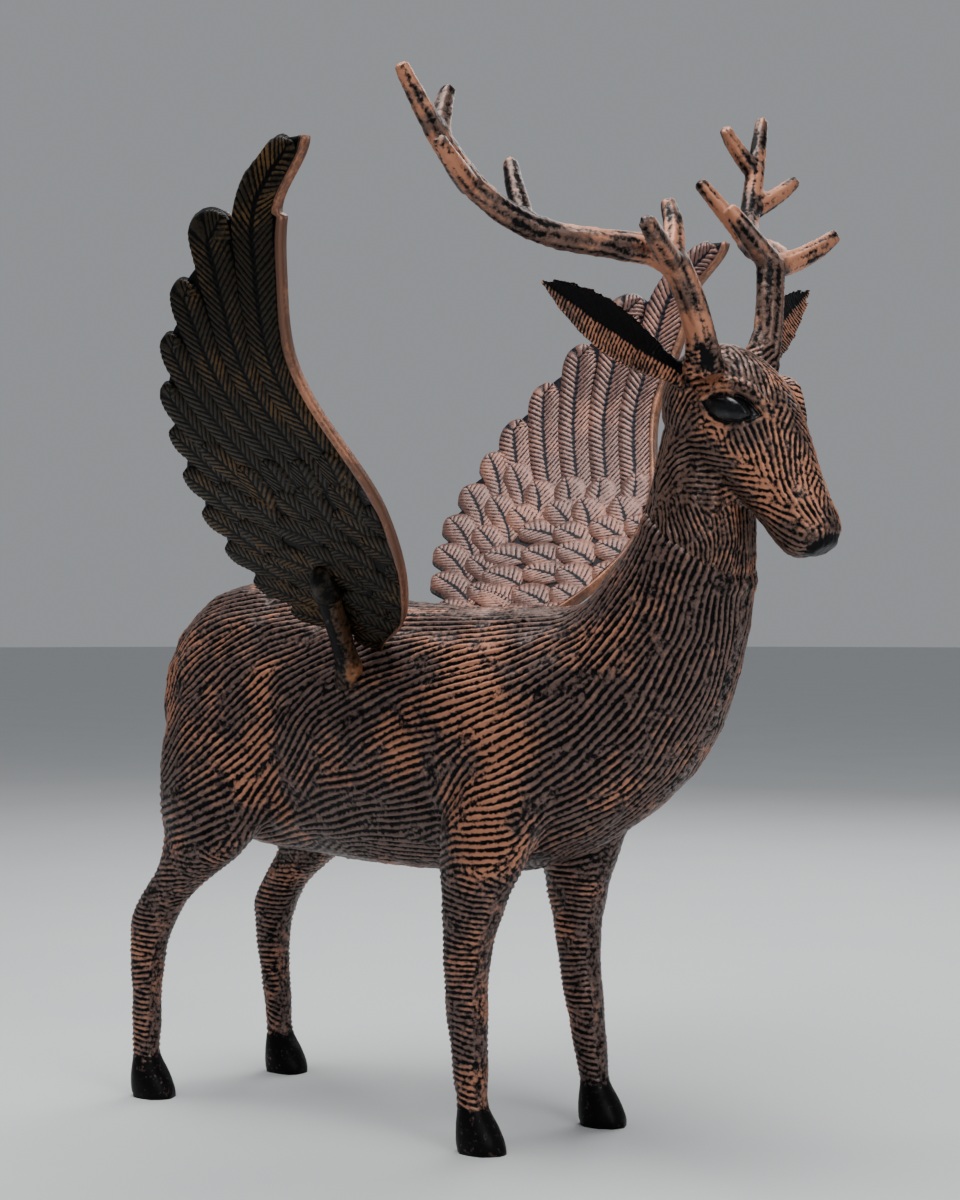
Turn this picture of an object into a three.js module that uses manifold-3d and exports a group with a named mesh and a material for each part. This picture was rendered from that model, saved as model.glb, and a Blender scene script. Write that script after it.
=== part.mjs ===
// A standing winged stag, cast in metal: a garden sculpture in six castings.
// Millimetres. +X is forward, +Y is the stag's left, +Z is up, and the hooves stand on z = 0.
import * as THREE from "three";
import { mergeVertices } from "three/addons/utils/BufferGeometryUtils.js";
import Module from "manifold-3d";

const wasm = await Module();
wasm.setup();

// ---- driving dimensions -------------------------------------------------------------------------
const CLEARANCE = 0.4; // gap left between two castings that touch
const TRUNK_SIDES = 32; // corners of a trunk section, a multiple of 4: every second one lies in a groove
const COAT_GROOVE = 3; // depth of the combed grooves along the trunk and neck
const LEG_SIDES = 10;
const LEG_SECTIONS = 16;
const LEG_GROOVE = 1.1; // depth of the ring grooves round the legs
const HEAD_SIDES = 18;
const ANTLER_SIDES = 6;
const HEAD_ROLL = THREE.MathUtils.degToRad(5.4); // the head leans a little to the stag's right
const HEAD_ASIDE = -20; // and its middle plane lies this far to the right of the trunk's
const SKULL = new THREE.Vector3(325, HEAD_ASIDE, 785); // centre of the brain case
const FACE_SLOPE = THREE.MathUtils.degToRad(-54.5); // the line from the skull to the nose, below level
const NECK_SEAM = { x: 290, z: 647, slope: THREE.MathUtils.degToRad(52) }; // joint between neck and head
const WING = {
  radius: 668, // the plate follows an arc of this radius, seen along the stag
  startAngle: THREE.MathUtils.degToRad(32), // of the arc's tangent above level, at the root
  rootOut: 85, // where the arc starts, out from the middle plane
  rootUp: 532,
  length: 606, // along the arc, from root to tip
  thickness: 12,
  ridge: 3.2, // height of a feather's shaft over the gap between feathers
  rows: 29,
  columns: 10,
  leanIn: 0.13, // half way up, a point lies this share of its distance back nearer the middle plane
  rimEnd: 535, // along the arc, where the thick leading rim stops
  rimStep: 9, // and how far the edge steps back there
};

// ---- shared shaping functions -------------------------------------------------------------------

// Values in between the rows of a table, along a smooth curve. The first number of a row is its position.
function smoothTable(rows) {
  const size = rows[0].length - 1;
  const positions = rows.map((row) => row[0]);
  const values = rows.flatMap((row) => row.slice(1));
  const curve = new THREE.CubicInterpolant(positions, values, size, new Float32Array(size));
  return (position) => Array.from(curve.evaluate(position));
}

// Rows of a table refined to count rows, evenly spaced by the distance between their centres.
function refine(rows, count, distance) {
  const places = [0];
  for (let i = 1; i < rows.length; i++) places.push(places[i - 1] + distance(rows[i - 1], rows[i]));
  const at = smoothTable(rows.map((row, i) => [places[i], ...row]));
  const total = places.at(-1);
  return Array.from({ length: count }, (_, i) => at((total * i) / (count - 1)));
}

// A closed surface through rings of equally many points, with a flat fan at each end.
function loft(rings) {
  const sides = rings[0].length;
  const points = rings.flat();
  const middle = (ring) => ring.reduce((sum, p) => sum.add(p), new THREE.Vector3()).divideScalar(sides);
  points.push(middle(rings[0]), middle(rings.at(-1)));
  const start = points.length - 2;
  const lastRing = (rings.length - 1) * sides;
  const faces = [];
  for (let i = 0; i < sides; i++) {
    const next = (i + 1) % sides;
    for (let r = 0; r < lastRing; r += sides) {
      faces.push(r + i, r + next, r + sides + next, r + i, r + sides + next, r + sides + i);
    }
    faces.push(start, next, i, start + 1, lastRing + i, lastRing + next);
  }
  return closedSurface(points, faces);
}

function closedSurface(points, faces) {
  const geometry = new THREE.BufferGeometry().setFromPoints(points);
  let volume = 0;
  for (let i = 0; i < faces.length; i += 3) {
    const [a, b, c] = [faces[i], faces[i + 1], faces[i + 2]].map((n) => points[n]);
    volume += a.dot(b.clone().cross(c));
  }
  const outward = volume < 0 ? faces.slice().reverse() : faces;
  return geometry.setIndex(outward);
}

function solidOf(geometry) {
  const bare = geometry.clone();
  bare.deleteAttribute("normal");
  bare.deleteAttribute("uv");
  const merged = mergeVertices(bare, 1e-3);
  return new wasm.Manifold(
    new wasm.Mesh({
      numProp: 3,
      vertProperties: merged.attributes.position.array,
      triVerts: new Uint32Array(merged.index.array),
    }),
  );
}

const joined = (solids) => solids.reduce((all, next) => all.add(next));

// ---- trunk and neck -----------------------------------------------------------------------------
// Each section: centre x and z, slope of the spine in degrees, half width, half height, shift aside.
const TRUNK = [
  [-436, 452, 0, 22, 26, 0],
  [-426, 455, 0, 62, 80, 0],
  [-397, 459, 0, 94, 120, 0],
  [-345, 456, 0, 116, 151, 0],
  [-220, 445, 0, 117, 156, 0],
  [-60, 433, 0, 121, 150, 0],
  [85, 437, 2, 118, 143, 0],
  [185, 473, 20, 106, 117, 0],
  [224, 508, 33, 96, 105, -1],
  [259, 570, 49, 82, 86, -3],
  [289, 650, 67, 66, 62, -9],
  [303, 745, 74, 55, 47, -16],
  [310, 785, 72, 46, 38, -19],
];

function trunk(swell, sectionCount) {
  const rows = refine(TRUNK, sectionCount, (a, b) => Math.hypot(b[0] - a[0], b[1] - a[1]));
  return loft(
    rows.map(([x, z, slope, halfWidth, halfHeight, aside]) => {
      const up = THREE.MathUtils.degToRad(slope + 90);
      return Array.from({ length: TRUNK_SIDES }, (_, i) => {
        const angle = (2 * Math.PI * i) / TRUNK_SIDES;
        const groove = i % 2 ? Math.min(COAT_GROOVE, 0.05 * halfWidth) : 0;
        const out = (halfWidth + swell - groove) * Math.cos(angle);
        const rise = (halfHeight + swell - groove) * Math.sin(angle);
        return new THREE.Vector3(x + rise * Math.cos(up), aside + out, z + rise * Math.sin(up));
      });
    }),
  );
}

// ---- legs ---------------------------------------------------------------------------------------
// Girths, from the ankle up: height, half length and half width.
const FORELEG_GIRTH = [
  [56, 18, 19],
  [150, 24, 24],
  [212, 28, 27],
  [265, 39, 32],
  [318, 54, 42],
  [370, 66, 44],
  [430, 66, 34],
];
const HINDLEG_GIRTH = [
  [56, 17, 18],
  [165, 22, 22],
  [212, 30, 27],
  [256, 36, 31],
  [300, 58, 38],
  [345, 78, 46],
  [400, 84, 46],
  [470, 68, 42],
];
// Joints, from the ankle up: x, height and distance out from the middle plane. The right foot of each
// pair stands a little behind the left one.
const FORELEGS = [
  { side: -1, joints: [[58, 56, 93], [54, 205, 96], [73, 318, 90], [108, 430, 78]] },
  { side: 1, joints: [[91, 56, 92], [72, 205, 89], [77, 318, 86], [108, 430, 78]] },
];
const HINDLEGS = [
  { side: -1, joints: [[-419, 56, 100], [-404, 212, 101], [-322, 310, 96], [-316, 470, 80]] },
  { side: 1, joints: [[-387, 56, 102], [-390, 212, 99], [-310, 310, 93], [-312, 470, 80]] },
];

function leg({ side, joints }, girth) {
  const bones = new THREE.CatmullRomCurve3(joints.map(([x, z, out]) => new THREE.Vector3(x, side * out, z)));
  const girthAt = smoothTable(girth);
  const rings = Array.from({ length: LEG_SECTIONS }, (_, r) => {
    const { x, y, z } = bones.getPoint(1 - r / (LEG_SECTIONS - 1));
    const [halfLength, halfWidth] = girthAt(z);
    const groove = z < 330 && r % 2 ? LEG_GROOVE : 0;
    return ellipse(x, y, z, halfLength - groove, halfWidth - groove, LEG_SIDES);
  });
  const [ankleX, , ankleOut] = joints[0];
  return solidOf(loft([...rings, ...hoof(ankleX, side * ankleOut)]));
}

// Rings of a hoof below an ankle: it splays forward, down to a flat sole on the ground.
function hoof(x, y) {
  const profile = [
    [2, 42, 18, 19],
    [5, 34, 23, 22],
    [10, 16, 28, 25],
    [13, 0, 31, 26],
  ];
  return profile.map(([ahead, z, halfLength, halfWidth]) =>
    ellipse(x + ahead, y, z, halfLength, halfWidth, LEG_SIDES),
  );
}

function ellipse(x, y, z, halfLength, halfWidth, sides) {
  return Array.from({ length: sides }, (_, i) => {
    const angle = (2 * Math.PI * i) / sides;
    return new THREE.Vector3(x + halfLength * Math.cos(angle), y + halfWidth * Math.sin(angle), z);
  });
}

// A tube of round sections along a smooth curve, with a radius for each of its points.
function taperedTube(points, radii, sides, sectionCount) {
  const curve = new THREE.CatmullRomCurve3(points);
  const frames = curve.computeFrenetFrames(sectionCount - 1, false);
  const radiusAt = smoothTable(radii.map((radius, i) => [i / (radii.length - 1), radius]));
  const rings = Array.from({ length: sectionCount }, (_, r) => {
    const share = r / (sectionCount - 1);
    const centre = curve.getPoint(share);
    const [radius] = radiusAt(share);
    const tangent = curve.getTangent(share);
    const normal = frames.normals[r];
    const across = normal.clone().addScaledVector(tangent, -normal.dot(tangent)).normalize();
    const other = tangent.clone().cross(across);
    return Array.from({ length: sides }, (_, i) => {
      const angle = (2 * Math.PI * i) / sides;
      return centre
        .clone()
        .addScaledVector(across, radius * Math.cos(angle))
        .addScaledVector(other, radius * Math.sin(angle));
    });
  });
  return solidOf(loft(rings));
}

const TAIL = {
  path: [new THREE.Vector3(-412, 0, 535), new THREE.Vector3(-438, 0, 500), new THREE.Vector3(-442, 0, 445)],
  radii: [18, 20, 6],
};

// ---- head ---------------------------------------------------------------------------------------
// Sections across the line from skull to nose: distance along it, top, bottom and half width.
const HEAD = [
  [-64, 22, -20, 18],
  [-54, 36, -36, 38],
  [-34, 50, -56, 55],
  [-8, 60, -67, 63],
  [22, 63, -65, 65],
  [50, 61, -56, 60],
  [80, 53, -43, 49],
  [110, 43, -38, 41],
  [140, 34, -37, 37],
  [164, 28, -34, 36],
  [178, 24, -23, 32],
  [184, 12, -12, 20],
];

// A point of the head: along the face line, out to a side and above the line, before the head's roll.
function facePoint(along, out, above) {
  const [c, s] = [Math.cos(FACE_SLOPE), Math.sin(FACE_SLOPE)];
  return new THREE.Vector3(SKULL.x + along * c - above * s, SKULL.y + out, SKULL.z + along * s + above * c);
}

function skull() {
  const at = smoothTable(HEAD);
  const [first, last] = [HEAD[0][0], HEAD.at(-1)[0]];
  const count = 14;
  const rings = Array.from({ length: count }, (_, r) => {
    const along = first + ((last - first) * r) / (count - 1);
    const [top, bottom, halfWidth] = at(along);
    return Array.from({ length: HEAD_SIDES }, (_, i) => {
      const angle = (2 * Math.PI * i) / HEAD_SIDES;
      const rise = Math.sin(angle) > 0 ? top : -bottom;
      return facePoint(along, halfWidth * Math.cos(angle), rise * Math.sin(angle));
    });
  });
  return solidOf(loft(rings));
}

const EYE = { along: 24, out: 58, above: 28, halfLength: 28, halfHeight: 14, bulge: 10 };
const EYE_SLOPE = THREE.MathUtils.degToRad(-18); // the eye's long axis, below level
// The brow's ridge starts behind the eye, arches over it and runs down to the bridge of the nose.
const BROW = { from: [-7, 58, 24], crown: [14, 48, 51], to: [61, 27, 51], radius: 8 };

function eye(side) {
  const ball = new THREE.SphereGeometry(1, 8, 6);
  ball.scale(EYE.halfLength, EYE.bulge, EYE.halfHeight);
  ball.rotateY(-EYE_SLOPE);
  const centre = facePoint(EYE.along, side * EYE.out, EYE.above);
  ball.translate(centre.x, centre.y, centre.z);
  return solidOf(ball);
}

function brow(side) {
  const stops = [BROW.from, BROW.crown, BROW.to];
  const points = stops.map(([along, out, above]) => facePoint(along, side * out, above));
  return taperedTube(points, [3, BROW.radius, 3], 6, 6);
}

// An ear: a leaf-shaped blade, hollowed on the face that looks forward.
const EAR = {
  base: [315, 50, 810],
  tip: [290, 265, 910],
  halfWidths: [
    [0, 12, 12],
    [0.12, 14, 13],
    [0.3, 24, 12],
    [0.5, 30, 12],
    [0.75, 24, 10],
    [0.92, 11, 7],
    [1, 3, 4],
  ],
  hollow: 0.7, // share of the blade's depth that the hollow takes, past the stem
};

function ear(side) {
  const base = new THREE.Vector3(EAR.base[0], HEAD_ASIDE + side * EAR.base[1], EAR.base[2]);
  const tip = new THREE.Vector3(EAR.tip[0], HEAD_ASIDE + side * EAR.tip[1], EAR.tip[2]);
  const axis = tip.clone().sub(base);
  const forward = new THREE.Vector3(1, 0, 0).addScaledVector(axis, -axis.x / axis.lengthSq()).normalize();
  const upward = forward.clone().cross(axis).normalize().multiplyScalar(-side);
  const at = smoothTable(EAR.halfWidths);
  const count = 8;
  const half = 5;
  const rings = Array.from({ length: count }, (_, r) => {
    const share = r / (count - 1);
    const [halfWidth, depth] = at(share);
    const scoop = depth * EAR.hollow * THREE.MathUtils.smoothstep(share, 0.1, 0.35);
    const centre = base.clone().addScaledVector(axis, share);
    return Array.from({ length: 2 * half }, (_, i) => {
      const angle = (Math.PI * (i + 0.5)) / half;
      const back = Math.sin(angle) > 0 ? depth * Math.sin(angle) : scoop * -Math.sin(angle) - depth * 0.25;
      return centre
        .clone()
        .addScaledVector(upward, halfWidth * Math.cos(angle))
        .addScaledVector(forward, -back);
    });
  });
  return solidOf(loft(rings));
}

// An antler, as points forward, out and up, from the head's own corner at x 200, its middle plane and z 800.
const ANTLER = {
  beam: [
    [135, 55, 20],
    [140, 70, 60],
    [130, 100, 130],
    [100, 160, 145],
    [50, 200, 160],
    [20, 255, 195],
    [5, 300, 250],
    [-5, 340, 315],
  ],
  beamRadii: [24, 17, 17, 15, 14, 13, 12, 8],
  tines: [
    { path: [[130, 100, 125], [150, 150, 140], [160, 190, 160]], radii: [14, 12, 9] },
    { path: [[130, 100, 130], [120, 75, 160], [105, 60, 190]], radii: [15, 12, 9] },
    { path: [[40, 215, 165], [20, 200, 200], [0, 180, 235]], radii: [12, 11, 8] },
    { path: [[15, 270, 205], [25, 305, 220], [35, 340, 240]], radii: [12, 11, 8] },
    { path: [[5, 300, 250], [-5, 280, 275], [-10, 260, 300]], radii: [12, 11, 8] },
  ],
};

function antler(side) {
  const place = ([ahead, out, up]) => new THREE.Vector3(200 + ahead, HEAD_ASIDE + side * out, 800 + up);
  const beam = taperedTube(ANTLER.beam.map(place), ANTLER.beamRadii, ANTLER_SIDES, 16);
  const tines = ANTLER.tines.map(({ path, radii }) => taperedTube(path.map(place), radii, ANTLER_SIDES, 4));
  return joined([beam, ...tines]);
}

function headInPlace() {
  const parts = [skull()];
  for (const side of [-1, 1]) parts.push(eye(side), brow(side), ear(side), antler(side));
  const pivot = [0, -HEAD_ASIDE, -800];
  const back = pivot.map((value) => -value);
  return joined(parts).translate(pivot).rotate([THREE.MathUtils.radToDeg(HEAD_ROLL), 0, 0]).translate(back);
}

// Everything above a plane across the neck, which lies offset along the neck from the joint.
function aboveSeam(offset) {
  const size = 900;
  const block = new THREE.BoxGeometry(size, size, size);
  block.translate(size / 2 + offset, 0, 0);
  block.rotateY(-NECK_SEAM.slope);
  block.translate(NECK_SEAM.x, 0, NECK_SEAM.z);
  return solidOf(block);
}

// ---- wings --------------------------------------------------------------------------------------
// Edges of a wing laid flat: distance up the wing from its root, then x. The leading edge swells over the
// shoulder of the wing, draws in, and hooks forward at the tip; the trailing edge is one long bow.
const LEADING_EDGE = [[0, -66], [60, 0], [215, 62], [390, 22], [470, 34], [545, 54], [606, 96]];
const TRAILING_EDGE = [[0, -66], [90, -164], [230, -210], [400, -166], [540, -44], [606, 58]];
const TRAILING_FEATHERS = 12; // feather tips that notch the trailing edge
const NOTCH = 9;
const COVERT_SHARE = 0.48; // the lower part of a wing has rows of short feathers, the rest long ones
const COVERT_ROWS = 3; // rows of the plate's grid to one row of short feathers

// A point of the wing's middle surface and its outward normal, for a place along the arc and an x.
function wingPlace(along, x, leadX) {
  const angle = WING.startAngle + along / WING.radius;
  const lean = WING.leanIn * (leadX - x) * Math.sin(Math.PI * (along / WING.length) ** 0.7);
  const out = WING.rootOut + WING.radius * (Math.sin(angle) - Math.sin(WING.startAngle)) - lean;
  const up = WING.rootUp + WING.radius * (Math.cos(WING.startAngle) - Math.cos(angle));
  return {
    point: new THREE.Vector3(x, -out, up),
    normal: new THREE.Vector3(0, -Math.sin(angle), -Math.cos(angle)),
  };
}

// How far a feathered face stands out of the plate. Long feathers rise to a shaft between two gaps; short
// ones rise to their tips, where they lap over the root of the next, and lie staggered side by side.
function featherRise(row, column) {
  if (row > COVERT_SHARE * WING.rows) return column % 2 ? WING.ridge : 0;
  const stagger = Math.floor(column / 2) % 2;
  const share = (((row + stagger) % COVERT_ROWS) + 1) / COVERT_ROWS;
  return WING.ridge * share * (column % 2 ? 1 : 0.4);
}

function wing(extraThickness) {
  const leadAt = smoothTable(LEADING_EDGE);
  const trailAt = smoothTable(TRAILING_EDGE);
  const faces = [1, -1].map((face) =>
    Array.from({ length: WING.rows }, (_, row) => {
      const share = row / (WING.rows - 1);
      const along = WING.length * (0.012 + 0.988 * share);
      const lead = leadAt(along)[0] - (along > WING.rimEnd ? WING.rimStep : 0);
      const tip = Math.abs(Math.sin(Math.PI * TRAILING_FEATHERS * share));
      const trail = trailAt(along)[0] + (share > 0.2 && share < 0.97 ? NOTCH * (1 - tip) : 0);
      return Array.from({ length: WING.columns + 1 }, (_, column) => {
        const x = lead + ((trail - lead) * column) / WING.columns;
        const { point, normal } = wingPlace(along, x, lead);
        const inside = row > 0 && row < WING.rows - 1 && column > 0 && column < WING.columns;
        const rise = WING.thickness / 2 + extraThickness + (inside ? featherRise(row, column) : 0);
        return point.addScaledVector(normal, face * rise);
      });
    }),
  );
  return solidOf(plate(...faces));
}

// A closed plate between two grids of points.
function plate(front, back) {
  const rows = front.length;
  const columns = front[0].length;
  const points = [...front.flat(), ...back.flat()];
  const shift = rows * columns;
  const faces = [];
  const quad = (a, b, c, d) => faces.push(a, b, c, a, c, d);
  const at = (row, column) => row * columns + column;
  for (let r = 0; r + 1 < rows; r++) {
    for (let c = 0; c + 1 < columns; c++) {
      const [a, b, d, e] = [at(r, c), at(r, c + 1), at(r + 1, c + 1), at(r + 1, c)];
      quad(a, b, d, e);
      quad(shift + e, shift + d, shift + b, shift + a);
    }
    const [lower, upper] = [at(r, columns - 1), at(r + 1, columns - 1)];
    quad(at(r, 0), at(r + 1, 0), shift + at(r + 1, 0), shift + at(r, 0));
    quad(upper, lower, shift + lower, shift + upper);
  }
  for (let c = 0; c + 1 < columns; c++) {
    quad(at(0, c + 1), at(0, c), shift + at(0, c), shift + at(0, c + 1));
    quad(at(rows - 1, c), at(rows - 1, c + 1), shift + at(rows - 1, c + 1), shift + at(rows - 1, c));
  }
  return closedSurface(points, faces);
}

// The strut that props a wing off the flank, and the boss on the wing that it meets, on one straight line.
const STRUT = {
  foot: new THREE.Vector3(-104, -94, 494),
  head: new THREE.Vector3(-66, -197, 626),
  meets: 0.74, // share of the way up where the strut ends and the boss starts
  radii: [24, 15, 13, 13, 14, 15],
  bossRadii: [17, 16, 12],
  sides: 10,
};

function strutStretch(from, to, radii, sectionCount) {
  const ends = [from, (from + to) / 2, to].map((share) => STRUT.foot.clone().lerp(STRUT.head, share));
  return taperedTube(ends, radii, STRUT.sides, sectionCount);
}

const strut = () => strutStretch(0, STRUT.meets, STRUT.radii, 6);

function boss() {
  const gap = CLEARANCE / STRUT.foot.distanceTo(STRUT.head);
  return strutStretch(STRUT.meets + gap, 1, STRUT.bossRadii, 4);
}

// ---- the castings -------------------------------------------------------------------------------
const BRONZE = { color: 0x4a2c22, roughness: 0.5, metalness: 0.6 };

function casting(name, solid) {
  const { vertProperties, triVerts, numProp, numVert } = solid.getMesh();
  const points = new Float32Array(numVert * 3);
  for (let i = 0; i < numVert; i++) points.set(vertProperties.subarray(i * numProp, i * numProp + 3), i * 3);
  const geometry = new THREE.BufferGeometry();
  geometry.setAttribute("position", new THREE.BufferAttribute(points, 3));
  geometry.setIndex(new THREE.BufferAttribute(triVerts, 1));
  geometry.computeVertexNormals();
  const mesh = new THREE.Mesh(geometry, new THREE.MeshStandardMaterial(BRONZE));
  mesh.name = name;
  return mesh;
}

const sections = 26;
const neckAndTrunk = solidOf(trunk(0, sections));
const legs = [
  ...FORELEGS.map((one) => leg(one, FORELEG_GIRTH)),
  ...HINDLEGS.map((one) => leg(one, HINDLEG_GIRTH)),
];
const tail = taperedTube(TAIL.path, TAIL.radii, 8, 5);
const body = joined([neckAndTrunk.subtract(aboveSeam(0)), ...legs, tail]);
const head = joined([neckAndTrunk.intersect(aboveSeam(CLEARANCE)), headInPlace()]);

const spaceOfBody = solidOf(trunk(CLEARANCE, sections));
const rightWing = joined([wing(0), boss()]).subtract(spaceOfBody);
const rightStrut = strut().subtract(spaceOfBody).subtract(wing(CLEARANCE));

const stag = new THREE.Group();
stag.add(casting("deer_body", body), casting("deer_head", head));
for (const [sideName, scale] of [["right", 1], ["left", -1]]) {
  const side = new THREE.Group();
  side.scale.y = scale;
  side.add(casting(`wing_${sideName}`, rightWing), casting(`wing_strut_${sideName}`, rightStrut));
  stag.add(side);
}

// The origin is on the ground, at the middle of the sculpture's footprint.
const bounds = new THREE.Box3().setFromObject(stag, true);
const centre = bounds.getCenter(new THREE.Vector3());
stag.position.set(-centre.x, -centre.y, -bounds.min.z);

export default stag;
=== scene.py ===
"""Dresses the winged stag: its combed coat, head, feathered wings and struts, in a plain studio.

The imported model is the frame. Each piece stands for one of its nodes and keeps that node's form. Shapes
are worked out in millimetres in the stag's own frame, where x is forward, y is its left, z is up and the
hooves stand on z = 0, and are turned to metres in the frame's own place as they are written to a mesh.
"""
import logging
import math
from dataclasses import dataclass, field
from enum import Enum
from functools import partial
from typing import Callable

import bmesh
import bpy
import numpy as np
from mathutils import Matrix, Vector


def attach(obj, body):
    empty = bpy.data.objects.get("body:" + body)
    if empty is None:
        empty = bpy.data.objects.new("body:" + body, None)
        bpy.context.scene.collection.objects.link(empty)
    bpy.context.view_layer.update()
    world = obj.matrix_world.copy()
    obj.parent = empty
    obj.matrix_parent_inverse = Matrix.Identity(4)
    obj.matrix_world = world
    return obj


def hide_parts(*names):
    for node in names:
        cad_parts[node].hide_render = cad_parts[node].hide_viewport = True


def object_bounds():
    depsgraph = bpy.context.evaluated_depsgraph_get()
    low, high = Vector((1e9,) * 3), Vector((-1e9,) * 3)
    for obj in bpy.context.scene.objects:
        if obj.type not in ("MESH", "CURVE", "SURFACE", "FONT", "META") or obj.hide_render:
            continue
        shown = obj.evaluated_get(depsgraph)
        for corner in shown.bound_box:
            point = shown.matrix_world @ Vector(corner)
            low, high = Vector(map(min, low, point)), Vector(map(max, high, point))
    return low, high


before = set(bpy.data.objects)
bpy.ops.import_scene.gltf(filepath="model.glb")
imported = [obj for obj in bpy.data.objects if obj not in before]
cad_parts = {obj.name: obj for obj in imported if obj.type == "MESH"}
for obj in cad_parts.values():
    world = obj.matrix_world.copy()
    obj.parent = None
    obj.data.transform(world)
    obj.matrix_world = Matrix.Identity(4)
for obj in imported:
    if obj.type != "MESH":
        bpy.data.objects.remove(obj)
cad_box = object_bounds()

Array = np.ndarray
Point = tuple[float, float, float]
Segment = tuple[Point, Point]
Stripe = tuple[Segment, float, float]

log = logging.getLogger("stag")

MM = 0.001
STAG_ZERO = np.array([6.844, 0.0, 0.0])  # of the stag's own frame, in the frame's millimetres
TURN = 2 * math.pi
BODY = "root"


class Side(Enum):
    """A side of the stag, with the sign of y on it."""

    RIGHT = -1
    LEFT = 1


# ---- meshes and numbers --------------------------------------------------------------------------


def to_stag(points: Array) -> Array:
    """Turns metres in the frame to millimetres in the stag's own frame."""
    return points / MM - STAG_ZERO


def to_frame(points: Array) -> Array:
    """Turns millimetres in the stag's own frame to metres in the frame."""
    return (points + STAG_ZERO) * MM


def read(mesh: bpy.types.Mesh) -> tuple[Array, Array]:
    """Reads a mesh's points and normals.

    Args:
        mesh: A mesh in metres.

    Returns:
        The points in millimetres in the stag's own frame, and the unit normals.
    """
    points = np.empty(len(mesh.vertices) * 3, np.float32)
    normals = np.empty(len(mesh.vertices) * 3, np.float32)
    mesh.vertices.foreach_get("co", points)
    mesh.vertex_normals.foreach_get("vector", normals)
    return to_stag(points.reshape(-1, 3).astype(float)), normals.reshape(-1, 3).astype(float)


def write(mesh: bpy.types.Mesh, points: Array) -> None:
    """Writes points, in millimetres in the stag's own frame, to a mesh, none outside the solids' box."""
    inside = np.clip(to_frame(points), np.array(cad_box[0]), np.array(cad_box[1]))
    mesh.vertices.foreach_set("co", inside.astype(np.float32).ravel())
    mesh.update()


def store(mesh: bpy.types.Mesh, name: str, values: Array) -> None:
    """Stores a number for each point of a mesh, for the finish to read."""
    held = mesh.attributes.get(name) or mesh.attributes.new(name, "FLOAT", "POINT")
    held.data.foreach_set("value", values.astype(np.float32))


def surface_area(mesh: bpy.types.Mesh) -> float:
    """Gives a mesh's area in square millimetres."""
    areas = np.empty(len(mesh.polygons), np.float32)
    mesh.polygons.foreach_get("area", areas)
    return float(areas.sum()) / MM**2


def linked(name: str, data: bpy.types.ID) -> bpy.types.Object:
    """Puts a mesh, a lamp or a camera into the scene as an object of that name."""
    obj = bpy.data.objects.new(name, data)
    bpy.context.scene.collection.objects.link(obj)
    return obj


def solid(name: str, points: Array, faces: list[list[int]]) -> bpy.types.Mesh:
    """Makes a mesh whose faces look outward.

    Args:
        name: The mesh's name.
        points: Its points, in millimetres in the stag's own frame.
        faces: The numbers of each face's points.

    Returns:
        The mesh.
    """
    mesh = bpy.data.meshes.new(name)
    mesh.from_pydata(to_frame(points).tolist(), [], faces)
    shell = bmesh.new()
    shell.from_mesh(mesh)
    bmesh.ops.recalc_face_normals(shell, faces=shell.faces)
    shell.to_mesh(mesh)
    shell.free()
    return mesh


def welded_copy(node: str, name: str) -> bpy.types.Object:
    """Copies a node of the frame with its loose triangles joined.

    Args:
        node: The node's name.
        name: The new object's name.

    Returns:
        The copy, at the origin.
    """
    shell = bmesh.new()
    shell.from_mesh(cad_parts[node].data)
    bmesh.ops.remove_doubles(shell, verts=shell.verts, dist=0.01 * MM)
    mesh = bpy.data.meshes.new(name)
    shell.to_mesh(mesh)
    shell.free()
    return linked(name, mesh)


def settle(obj: bpy.types.Object) -> None:
    """Turns an object's modifiers into plain mesh."""
    graph = bpy.context.evaluated_depsgraph_get()
    made = bpy.data.meshes.new_from_object(
        obj.evaluated_get(graph), preserve_all_data_layers=True, depsgraph=graph
    )
    worn = obj.data
    obj.modifiers.clear()
    obj.data = made
    made.name = obj.name
    bpy.data.meshes.remove(worn)


def reshape(obj: bpy.types.Object, kind: str, **settings: object) -> None:
    """Runs one modifier on an object and settles it.

    Args:
        obj: The object.
        kind: The modifier's kind.
        **settings: The modifier's own settings.
    """
    modifier = obj.modifiers.new(kind, kind)
    for name, value in settings.items():
        setattr(modifier, name, value)
    settle(obj)


def parts_of(shell: bmesh.types.BMesh) -> list[list[bmesh.types.BMFace]]:
    """Sorts a mesh's faces into the parts that hang together."""
    parts = []
    left = set(shell.faces)
    while left:
        part = [left.pop()]
        for face in part:
            beside = {other for edge in face.edges for other in edge.link_faces} & left
            left -= beside
            part.extend(beside)
        parts.append(part)
    return parts


def face_outward(shell: bmesh.types.BMesh) -> None:
    """Turns each closed part of a mesh so that its faces look outward.

    Args:
        shell: A mesh of one or more closed parts, its larger faces already cut into triangles.
    """
    bmesh.ops.recalc_face_normals(shell, faces=shell.faces)
    for part in parts_of(shell):
        volume = 0.0
        for face in part:
            first, *rest = [vert.co for vert in face.verts]
            volume += sum(first.dot(second.cross(third)) for second, third in zip(rest, rest[1:]))
        if volume < 0.0:
            bmesh.ops.reverse_faces(shell, faces=part)


def drop_crumbs(mesh: bpy.types.Mesh) -> None:
    """Leaves only the largest part of a mesh."""
    shell = bmesh.new()
    shell.from_mesh(mesh)
    parts = sorted(parts_of(shell), key=len)
    for crumb in parts[:-1]:
        bmesh.ops.delete(shell, geom=crumb, context="FACES")
    shell.to_mesh(mesh)
    shell.free()


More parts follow.
